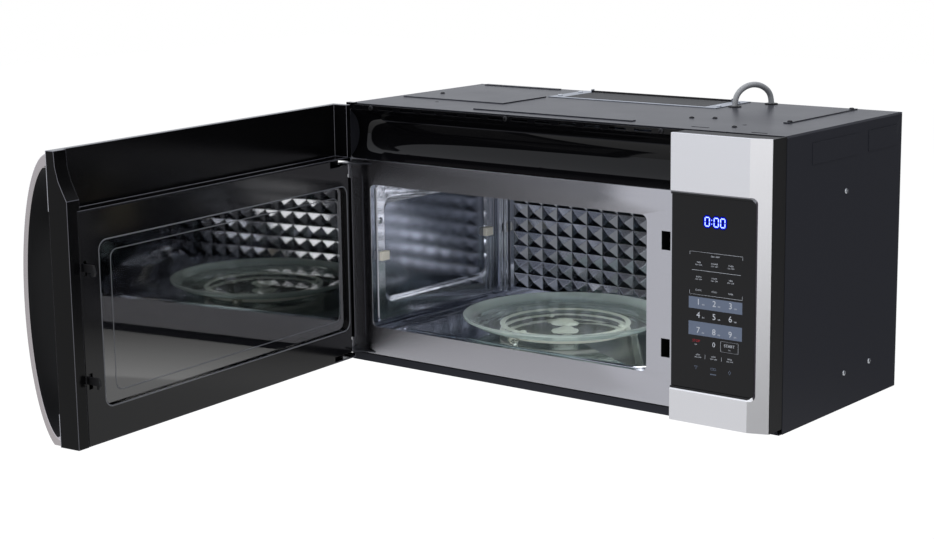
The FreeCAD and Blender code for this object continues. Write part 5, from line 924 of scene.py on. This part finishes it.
@step
class MICROWAVE_OT_filters(bpy.types.Operator):
    """Expanded aluminium grease filters and the lens of the cooktop lamp"""
    bl_idname = "microwave.filters"
    bl_label = "Grease filters"

    rim = 7.0               # width of the frame around the mesh
    skin = 1.2              # depth of each of the two mesh layers inside the frame
    slant = 0.6             # rise of a strip for its run
    strip = ((-1, -0.3), (1, -0.3), (1, 0.3), (-1, 0.3))

    def strand(self):
        """Two crossing strips of one cell of the expanded sheet."""
        half = sizes().filter_pitch / MM
        work = Work()
        for sign in (1, -1):
            end = Vector((half, half * self.slant * sign, 0))
            across = Vector((end.y, -end.x, 0)).normalized() * 0.5
            work.loft([[tuple(side * end + across * u + Vector((0, 0, 0.25 * sign + v))) for u, v in self.strip]
                       for side in (-1, 1)])
        return linked("strand_shape", work.mesh("strand_shape"))

    def execute(self, context):
        pitch = sizes().filter_pitch / MM
        for side in ("left", "right"):
            node = f"grease_filter_{side}"
            low, high = (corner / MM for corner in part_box(node))
            work = Work()
            inner = rounded(low.x + self.rim, high.x - self.rim, low.y + self.rim, high.y - self.rim, 4)
            work.plate(rounded(low.x, high.x, low.y, high.y, 3), [inner], lambda u, v, w: (u, v, w),
                       low.z, high.z)
            work.done(node + "_look", f"filter_{side}", "expanded_aluminium", "filter_mesh", node)
            x0, y0, x1, y1 = low.x + self.rim, low.y + self.rim, high.x - self.rim, high.y - self.rim
            rise = self.slant * pitch
            points = [(MM * (x0 + pitch * (2 * i + 1)), MM * (y0 + rise * (2 * k + 1)), MM * z)
                      for i in range(int((x1 - x0) / (2 * pitch))) for k in range(int((y1 - y0) / (2 * rise)))
                      for z in (low.z + self.skin, high.z - self.skin)]
            shape = self.strand()
            instanced(f"filter_mesh_{side}", points, [(0, 0, 1)] * len(points), shape, "expanded_aluminium",
                      f"filter_{side}", "filter_mesh")
            bpy.data.objects.remove(shape)
        softened("lamp_cover", "glass_clear", bevel=0.0)
        return {"FINISHED"}


@step
class MICROWAVE_OT_front(bpy.types.Operator):
    """Brushed face plate, glossy air guide, slotted trim and the door's hinge brackets"""
    bl_idname = "microwave.front"
    bl_label = "Front"

    def execute(self, context):
        softened("face_plate", "steel_brushed", grain=((0, 0.3, 1), (1, 0, 0)))
        softened("vent_panel", "plastic_black", bevel=sizes().moulded_edge)
        softened("top_trim", "plastic_black")
        softened("cabinet_hinges", "screw_steel", "hinge_steel", bevel=0.5 * MM)
        return {"FINISHED"}


@step
class MICROWAVE_OT_controls(bpy.types.Operator):
    """Folded fascia with its sloped window, housing and touch glass"""
    bl_idname = "microwave.controls"
    bl_label = "Controls"

    def surface(self, x):
        """Depth of the fascia's outer face at x: flat up to the fold, then falling back."""
        f = FASCIA
        return f["front"] + max(0.0, x - f["fold"]) / (f["right"] - f["fold"]) * (f["back"] - f["front"])

    right_share = 0.45      # the slope at the right is this much narrower than those above and below
    sheet_depth = 2.6       # from the foot of the slopes back to the sheet's inner side
    gap = 0.3               # around the glass
    sunk = 0.15             # how far the slopes reach past the glass's face
    rim_depths = (-366.0, -366.0, -360.6, -360.6, -366.0, -366.0)

    def border(self, out):
        """The window's edge, from its lower left end round to the upper one, moved outwards by out."""
        w, aside = TOUCH_GLASS, self.right_share * out
        low, high, right, r = w["low"] - out, w["high"] + out, w["right"] + aside, w["corner"] + aside
        turns = [math.radians(90 * i / CORNER_STEPS) for i in range(CORNER_STEPS + 1)]
        points = [(FASCIA["left"], low), (FASCIA["fold"], low)]
        points += [(right - r + r * math.sin(a), low + r - r * math.cos(a)) for a in turns]
        points += [(right - r + r * math.cos(a), high - r + r * math.sin(a)) for a in turns]
        return points + [(FASCIA["fold"], high), (FASCIA["left"], high)]

    def fascia(self):
        """The folded sheet with its window, the slopes around the glass, and its edges turned back."""
        f, glass = FASCIA, TOUCH_GLASS["front"]
        work = Work()
        start, end = self.border(sizes().window_slope / MM), self.border(self.gap)
        front = work.ring([(x, self.surface(x), z) for x, z in start])
        foot = work.ring([(x, max(self.surface(x), glass - self.sunk), z) for x, z in end])
        # The slopes below, at the right of and above the glass each have their own painted light: a painted
        # highlight below, painted shade at the right and painted half shade above.
        for first, last, kind in ((0, 6, 3), (6, 14, 2), (14, len(start) - 1, 1)):
            work.skin(front[first:last + 1], foot[first:last + 1], closed=False, kind=kind)
        back = work.ring([(x, max(self.surface(x), glass) + self.sheet_depth, z) for x, z in end])
        work.skin(foot, back, closed=False)
        places = [(side, level) for level, sides in (("low", ("left", "fold", "right")),
                                                     ("high", ("right", "fold", "left"))) for side in sides]
        corners = work.ring([(f[side], self.surface(f[side]), f[level]) for side, level in places])
        left_low, fold_low, right_low, right_high, fold_high, left_high = corners
        make = work.bm.faces.new
        make((left_low, fold_low, front[1], front[0]))
        make((left_high, front[-1], front[-2], fold_high))
        make((fold_low, right_low, right_high, fold_high, *front[-2:0:-1]))
        # The sheet's edges turn back over the housing.
        rim = work.ring([(corner.co.x, depth, corner.co.z) for corner, depth in zip(corners, self.rim_depths)])
        work.skin(corners, rim, closed=False)
        for k in (0, -1):
            make((corners[k], front[k], foot[k], back[k], rim[k]))
        # The slopes' tones are painted highlight and painted shade.
        tones = ["fine_brushed_stainless"] + [f"{side}_slope_stainless" for side in ("upper", "side", "lower")]
        work.done("fascia_look", "cabinet", tones, "steel_brushed", "control_fascia", angle=9,
                  bevel=0.35 * MM, grain=((0, 0.3, 1), (1, 0, 0)))

    def execute(self, context):
        self.fascia()
        softened("control_housing", "plastic_matte", bevel=0.5 * MM)
        softened("control_glass", "glass_black", bevel=0.25 * MM)
        return {"FINISHED"}


@step
class MICROWAVE_OT_legends(bpy.types.Operator):
    """Printed keys and the lit display"""
    bl_idname = "microwave.legends"
    bl_label = "Keys and display"

    # In millimetres on the glass: X of the three columns, and Z of each row of keys.
    columns = (272.5, 297.0, 322.0)
    rows = (("123", 175.0), ("456", 157.3), ("789", 136.5))
    bands = ((166.0, 182.0), (129.7, 148.5))
    line = 0.35
    print_lift = 0.03
    nought_height, nought_share = 119.4, 0.8
    # Texts and Z of the rows of small words. A second line below says on and off, but in one row.
    word_rows = ((("TIME", "POWER", "TIMER"), 227.5), (("AUTO", "LIGHT", "FAN"), 208.0),
                 (("CLOCK", "HOLD", "TIMER"), 190.0), (("ADD", "LOW", "HIGH"), 101.6))
    single_row = 190.0

    def bar(self, work, x0, x1, z0, z1, lift=0.03):
        y = TOUCH_GLASS["front"] - lift
        work.face([(x0, y, z0), (x1, y, z0), (x1, y, z1), (x0, y, z1)])

    def frame_lines(self):
        """Brackets over and under the words, a line between, marks, the start key's frame and the bands."""
        work = Work()
        line = self.line
        left, right = 258.5, 340.0
        for z, side in ((243.5, -5.0), (185.5, 5.0)):
            self.bar(work, left, right, z - line, z)
            for x in (left, 339.6):
                self.bar(work, x, x + line, *sorted((z, z + side)))
        self.bar(work, 262.0, 337.0, 218.2, 218.6)
        for x in (283.5, 309.0):
            self.bar(work, x, x + line, 98.5, 104.5)
        for z in (111.6, 126.0):
            self.bar(work, 307.5, 334.7, z, z + line)
        for x in (307.5, 334.35):
            self.bar(work, x, x + line, 111.6, 126.35)
        work.done("key_lines", "cabinet", "screen_print", "glass_black", flat=False)
        work = Work()
        for low, high in self.bands:
            self.bar(work, 257.5, right, low, high, 0.02)
        work.done("key_bands", "cabinet", "screen_print_band", "glass_black", flat=False)

    def icons(self):
        """Three faint signs below the keys: an arrow, a lamp and a lozenge."""
        y = TOUCH_GLASS["front"] - self.print_lift
        work = Work()
        for x, z, shape in ((269.5, 85.0, ((-2.6, 2.4), (2.6, 2.4), (0, -2.6))),
                            (322.0, 85.0, ((-2.2, 0), (0, 3.2), (2.2, 0), (0, -3.2)))):
            outer = work.ring([(x + u, y, z + v) for u, v in shape])
            inner = work.ring([(x + 0.72 * u, y, z + 0.72 * v) for u, v in shape])
            work.skin(outer, inner)
        for x in (292.6, 297.0):
            outer, inner = (rounded(x + t, x + 4.0 - t, 84.6 + t, 87.8 - t, 0.8 - t / 2, 2) for t in (0.0, 0.4))
            work.skin(work.ring([(u, y, v) for u, v in outer]), work.ring([(u, y, v) for u, v in inner]))
        for x in (292.0, 295.2, 298.4):
            self.bar(work, x, x + 2.4, 78.2, 79.6)
        work.done("key_signs", "cabinet", "screen_print_band", "glass_black", flat=False)

    def segments(self, x, z, wide, high, thick):
        """The corners of the six lit segments of a nought, as six-sided bars."""
        h = high / 2
        t = thick / 2
        ends = ((0, h, wide, h), (0, -h, wide, -h), (0, 0, 0, h), (wide, 0, wide, h), (0, -h, 0, 0),
                (wide, -h, wide, 0))
        for x0, z0, x1, z1 in ends:
            along = Vector((x1 - x0, z1 - z0)).normalized()
            side = Vector((-along.y, along.x)) * t
            a, b = Vector((x + x0, z + z0)) + along * 0.35, Vector((x + x1, z + z1)) - along * 0.35
            yield [a, a + along * t - side, b - along * t - side, b, b - along * t + side, a + along * t + side]

    def display(self):
        """Halo, glow and light of the digits, one above the other."""
        high = sizes().digit_height / MM * 0.86
        for name, thick, lift, colour, strength in (
                ("display_halo", 4.4, 0.03, tuple(c * 0.08 for c in colours().glow), 1.0),
                ("display_glow", 2.9, 0.10, tuple(colours().glow), 1.0),
                ("display_light", 1.35, 0.16, tuple(colours().digits), 1.5)):
            work = Work()
            y = TOUCH_GLASS["front"] - lift
            for i, x in enumerate((281.8, 295.6, 305.6)):
                for k, points in enumerate(self.segments(x, 285.0, 6.6, high, thick)):
                    if name == "display_light":
                        work.face([(p.x, y, p.y) for p in points])
                    else:
                        # Each soft spot lies a little in front of the last, so that none shares a plane.
                        x0, x1 = min(p.x for p in points) - thick / 4, max(p.x for p in points) + thick / 4
                        z0, z1 = min(p.y for p in points) - thick / 4, max(p.y for p in points) + thick / 4
                        shift = 0.001 * (6 * i + k)
                        work.face([(u, y - shift, v) for u, v in rounded(x0, x1, z0, z1, thick / 2.4, 4)])
            for z in (282.4, 287.6):
                r = thick / 2.2
                dot = rounded(292.0 - r, 292.0 + r, z - r, z + r, r * 0.98, 4)
                work.face([(u, y - 0.02, v) for u, v in dot])
            work.done(name, "cabinet", glowing(name, colour, strength), "glass_black", flat=False)

    def execute(self, context):
        self.frame_lines()
        y = TOUCH_GLASS["front"] - 0.04
        key = sizes().key_height / MM
        keys = [(t, x, z, key) for text, z in self.rows for t, x in zip(text, self.columns)]
        keys.append(("0", self.columns[1], self.nought_height, key * self.nought_share))
        words("key_numbers", keys, "screen_print", y)
        lines = []
        for texts, z in self.word_rows:
            for text, x in zip(texts, self.columns):
                lines.append((text, x, z + 1.4, 2.1))
                if z != self.single_row:
                    lines.append(("ON / OFF", x, z - 1.9, 1.8))
        lines += [("ON / OFF", 298.0, 238.8, 2.3), ("START", 321.0, 120.6, 4.0), ("ON", 321.0, 115.4, 1.6),
                  ("OFF", 269.0, 116.8, 1.6)]
        lines += [("000", x + 7.6, z - 2.8, 1.9) for text, z in self.rows for x in self.columns]
        words("key_words", lines, "screen_print", y)
        self.icons()
        words("key_stop", [("STOP", 269.5, 121.8, 3.6)], "screen_print_stop", y)
        self.display()
        return {"FINISHED"}


@step
class MICROWAVE_OT_oven(bpy.types.Operator):
    """Bright steel oven with its pressed left wall, pyramid back and cream clips"""
    bl_idname = "microwave.oven"
    bl_label = "Oven"

    sink = 0.05             # pressings start this far outside the wall they are laid on
    left_wall_end = -0.338  # metres: the wall's faces lie left of it

    def wall_surround(self):
        """The left wall's pressed surround: it stands proud, and falls on slopes to the field inside it."""
        proud = OVEN_LEFT + sizes().plate_relief / MM
        loops = [(OVEN_LEFT + self.sink, (-318.0, -20.0, 58.0, 277.0), 8.0),
                 (proud, (-316.4, -21.6, 59.6, 275.4), 7.0), (proud, (-300.5, -29.5, 84.0, 254.5), 20.0),
                 (OVEN_LEFT + 2 * self.sink, (-297.5, -48.0, 96.0, 243.0), 13.0)]
        work = Work()
        work.loft([[(x, u, v) for u, v in rounded(*box, corner, CORNER_STEPS)] for x, box, corner in loops],
                  first=False, last=False)
        work.done("wall_surround", "cabinet", "bright_annealed_stainless", "steel_polished", angle=20,
                  bevel=0.5 * MM)

    def facet(self, face):
        """Which way a facet of the pressed back looks, and so its painted light: 1 up, a painted highlight, 2
        down, painted shade, 3 sideways, painted half shade, 0 not a facet.
        """
        normal = face.normal
        if not 0.5 <= abs(normal.y) <= 0.995:
            return 0
        return 1 if normal.z > 0.25 else 2 if normal.z < -0.25 else 3

    # Faces of the left wall, which take painted shade.
    def on_left_wall(self, face):
        return int(face.normal.x > 0.9 and face.calc_center_median().x < self.left_wall_end)

    def pressings(self):
        """Beads of the floor and of the back, and the boss near the mouth."""
        floor, back = OVEN_FLOOR - self.sink, OVEN_BACK + self.sink
        beads, uprights, boss = Work(), Work(), Work()
        pressed_ring(beads, (-312, 146, -306, -34), 26, 9, 2.2, lambda u, v, h: (u, v, floor + h))
        pressed_ring(beads, (-334, 168, -326, -22), 10, 5, 1.4, lambda u, v, h: (u, v, floor + h))
        for x in (-329.0, -319.0):
            pressed_ring(uprights, (x, x + 5.0, 60, 276), 2.4, 2.4, 2.0, lambda u, v, h: (u, back - h, v))
        boss.lathe([(0.0, 4.4), (3.0, 4.2), (5.0, 3.2), (5.4, 2.0)], (OVEN_LEFT, -310.0, 219.0), "X", 24)
        for name, work in (("floor_beads", beads), ("back_beads", uprights), ("wall_boss", boss)):
            work.done(name, "cabinet", "bright_annealed_stainless", "steel_polished", angle=50)

    def execute(self, context):
        # The left wall's faces take painted shade.
        softened("cavity_liner", "steel_polished", ["bright_annealed_stainless", "side_wall_stainless"],
                 bevel=0.0, paint_faces=self.on_left_wall)
        # The back's facets take a painted highlight, painted shade and painted half shade by the way they look.
        softened("cavity_back", "steel_polished",
                 ["bright_annealed_stainless", "pyramid_bright", "pyramid_dark", "pyramid_side"],
                 bevel=sizes().pyramid_edge, paint_faces=self.facet)
        softened("rack_supports", "plastic_beige", bevel=1.0 * MM)
        softened("waveguide_cover", "mica", bevel=0.1 * MM)
        self.wall_surround()
        self.pressings()
        return {"FINISHED"}


@step
class MICROWAVE_OT_turntable(bpy.types.Operator):
    """Pressed glass tray, roller ring, rollers and coupler"""
    bl_idname = "microwave.turntable"
    bl_label = "Turntable"

    # Radius and height, in millimetres, of the pressed track and of its three round stops.
    track = ((91.5, 0.0), (92.3, 0.9), (94.0, 1.5), (97.5, 1.5), (99.2, 0.9), (100.0, 0.0))
    stop = ((0.0, 1.8), (3.0, 1.6), (4.6, 0.9), (5.0, 0.0))
    stop_angles, stop_radius = (20, 140, 260), 88.0
    # The boss has three lobes: its mean radius, their reach, and its shrink and rise on the way up.
    boss_radius, boss_lobe, boss_steps = 19.0, 4.0, 60
    boss_loops = ((1.0, 0.0), (0.94, 1.6), (0.82, 2.2))
    relief_sink = 0.1

    def tray_relief(self):
        """Frosted track for the rollers, and the boss over the coupler, pressed in the flat of the tray."""
        x, y = TABLE_AXIS
        top = TRAY_FLAT - self.relief_sink
        work = Work()
        work.lathe(self.track, (x, y, top))
        for angle in map(math.radians, self.stop_angles):
            spot = (x + self.stop_radius * math.cos(angle), y + self.stop_radius * math.sin(angle), top)
            work.lathe(self.stop, spot, steps=20)
        work.done("tray_track", "tray", "frosted_glass", "glass_clear", angle=50)
        turns = [2 * math.pi * i / self.boss_steps for i in range(self.boss_steps)]
        reach = [self.boss_radius + self.boss_lobe * math.cos(3 * a) for a in turns]
        work = Work()
        work.loft([[(x + scale * r * math.cos(a), y + scale * r * math.sin(a), top + rise)
                    for r, a in zip(reach, turns)] for scale, rise in self.boss_loops], first=False)
        work.done("tray_boss", "tray", "frosted_glass", "glass_clear", angle=50)

    def execute(self, context):
        softened("glass_tray", "glass_clear", pressed_tray_glass(), bevel=0.0, angle=30)
        self.tray_relief()
        softened("roller_ring", "plastic_beige", bevel=0.0)
        softened("turntable_coupler", "plastic_clear", bevel=0.0)
        for number in (1, 2, 3):
            softened(f"roller_{number}", "plastic_clear", bevel=0.4 * MM)
        return {"FINISHED"}


@step
class MICROWAVE_OT_door(bpy.types.Operator):
    """Black door frame, choke cover, panel and brushed bands"""
    bl_idname = "microwave.door"
    bl_label = "Door"

    def execute(self, context):
        softened("door_frame", "paint_black", "black_enamelled_steel", bevel=0.8 * MM)
        softened("choke_cover", "plastic_black", "black_enamelled_steel", bevel=sizes().moulded_edge / 2)
        # The panel's rounded edges take a painted highlight.
        softened("door_panel", "plastic_black", ["dull_black_abs", "worn_abs_edge"], bevel=sizes().moulded_edge,
                 edge_kind=1)
        across = door_swing().to_3x3() @ Vector((1, 0, 0))
        softened("door_bands", "steel_brushed", bevel=0.3 * MM, grain=((0, 0, 1), across))
        return {"FINISHED"}


@step
class MICROWAVE_OT_window(bpy.types.Operator):
    """The door's two panes and its perforated screen"""
    bl_idname = "microwave.window"
    bl_label = "Door window"

    # Depths on the closed door: the screen and the printed border, which both lie within the door frame's own
    # window sheet and are hidden by it, and the faces that the two beads stand on.
    screen_depth, border_depth = -346.0, -345.8
    pane_bead_depth, cover_bead_depth = -342.48, -336.72
    # Left, right, low and high edge, and corner radius, of the printed border's outside and inside.
    border_loops = ((-348.5, 159.5, 68.5, 263.5, 8), (-346.0, 147.0, 71.0, 261.0, 12))

    def execute(self, context):
        swing = door_swing()
        softened("inner_glass", "glass_clear", tinted_pane("filmed_float_glass", "c9cad0", FILM_INDEX),
                 bevel=0.3 * MM)
        hole = rounded(*DOOR_WINDOW, DOOR_WINDOW_CORNER)
        work = Work()
        work.plate(rounded(*DOOR_GLASS, 1.0, 2), [hole], lambda u, v, w: (u, w, v), *DOOR_GLASS_DEPTHS)
        work.loft([[(u, y, v) for u, v in hole] for y in DOOR_GLASS_DEPTHS], kind=1)
        panes = ["enamelled_glass", tinted_pane("grey_float_glass", "c6c7cd", GLASS_INDEX)]
        work.done("door_glass_look", "door", panes, "glass_black", "door_glass", turn=swing)
        work = Work()
        work.skin(*[work.ring([(u, self.border_depth, v) for u, v in rounded(*loop)])
                    for loop in self.border_loops])
        work.done("pane_border", "door", "enamelled_glass", "glass_black", turn=swing, flat=False)
        work = Work()
        pressed_ring(work, (-347.0, 148.0, 70.0, 262.0), 12, 1.6, 0.6,
                     lambda u, v, h: (u, self.pane_bead_depth + h, v))
        pressed_ring(work, (-364.0, 175.0, 53.0, 279.0), 15, 2.0, 0.6,
                     lambda u, v, h: (u, self.cover_bead_depth + h, v))
        # The beads are painted grey: a painted highlight along the printed border and the cover's edge.
        work.done("pane_bead", "door", "bead_enamel", "glass_black", turn=swing, flat=False, angle=60)
        work = Work()
        work.face([(u, self.screen_depth, v) for u, v in hole])
        work.done("window_screen", "door", perforated_screen(), "paint_black", turn=swing)
        return {"FINISHED"}


@step
class MICROWAVE_OT_handle(bpy.types.Operator):
    """Bowed grip of the door, silver outside and dark within"""
    bl_idname = "microwave.handle"
    bl_label = "Handle"

    def on_seam(self, face):
        """Whether a face lies where two of the handle's solids meet."""
        height = face.calc_center_median().z
        return abs(face.normal.z) > 0.99 and any(abs(height - seam * MM) < SEAM_REACH for seam in HANDLE_SEAMS)

    def execute(self, context):
        inward = door_swing().to_3x3() @ Vector((0, 1, 0))
        softened("door_handle", "handle_metal", ["anodised_aluminium", "textured_abs"], bevel=sizes().grip_edge,
                 inner=self.on_seam, paint_faces=lambda face: int(face.normal.dot(inward) > 0.6))
        return {"FINISHED"}


@step
class MICROWAVE_OT_latch(bpy.types.Operator):
    """Latch block in textured black plastic, and the door's two hooks"""
    bl_idname = "microwave.latch"
    bl_label = "Latch"

    def execute(self, context):
        softened("latch_body", "plastic_beige", "textured_abs", bevel=0.4 * MM)
        softened("latch_hooks", "plastic_matte", bevel=0.4 * MM)
        softened("latch_spring", "screw_steel", bevel=0.0)
        return {"FINISHED"}


@step
class MICROWAVE_OT_machinery(bpy.types.Operator):
    """Finishes of the pieces inside, which keep their CAD shape"""
    bl_idname = "microwave.machinery"
    bl_label = "Inner pieces"

    def execute(self, context):
        for node in NODES.values():
            for place in node.material_slots:
                name = place.material.name.split(".")[0] if place.material else ""
                if name in SLOT_FINISH:
                    place.material = finish(SLOT_FINISH[name])
        return {"FINISHED"}


class MICROWAVE_PT_panel(bpy.types.Panel):
    """Lists the sizes, the colours and the operators"""
    bl_label = "Microwave"
    bl_idname = "MICROWAVE_PT_panel"
    bl_space_type = "VIEW_3D"
    bl_region_type = "UI"
    bl_category = "Microwave"

    def draw(self, context):
        for title, group in (("Sizes", sizes()), ("Colours", colours())):
            box = self.layout.box()
            box.label(text=title)
            for name in group.__annotations__:
                box.prop(group, name)
        for cls in STEPS:
            self.layout.operator(cls.bl_idname)


CLASSES = [MicrowaveSizes, MicrowaveColours, *STEPS, MICROWAVE_PT_panel]


def register():
    for cls in CLASSES:
        bpy.utils.register_class(cls)
    bpy.types.Scene.microwave_sizes = PointerProperty(type=MicrowaveSizes)
    bpy.types.Scene.microwave_colours = PointerProperty(type=MicrowaveColours)


def unregister():
    del bpy.types.Scene.microwave_colours
    del bpy.types.Scene.microwave_sizes
    for cls in reversed(CLASSES):
        bpy.utils.unregister_class(cls)


def main():
    register()
    for cls in STEPS:
        group, name = cls.bl_idname.split(".")
        getattr(getattr(bpy.ops, group), name)()


if __name__ == "__main__":
    main()
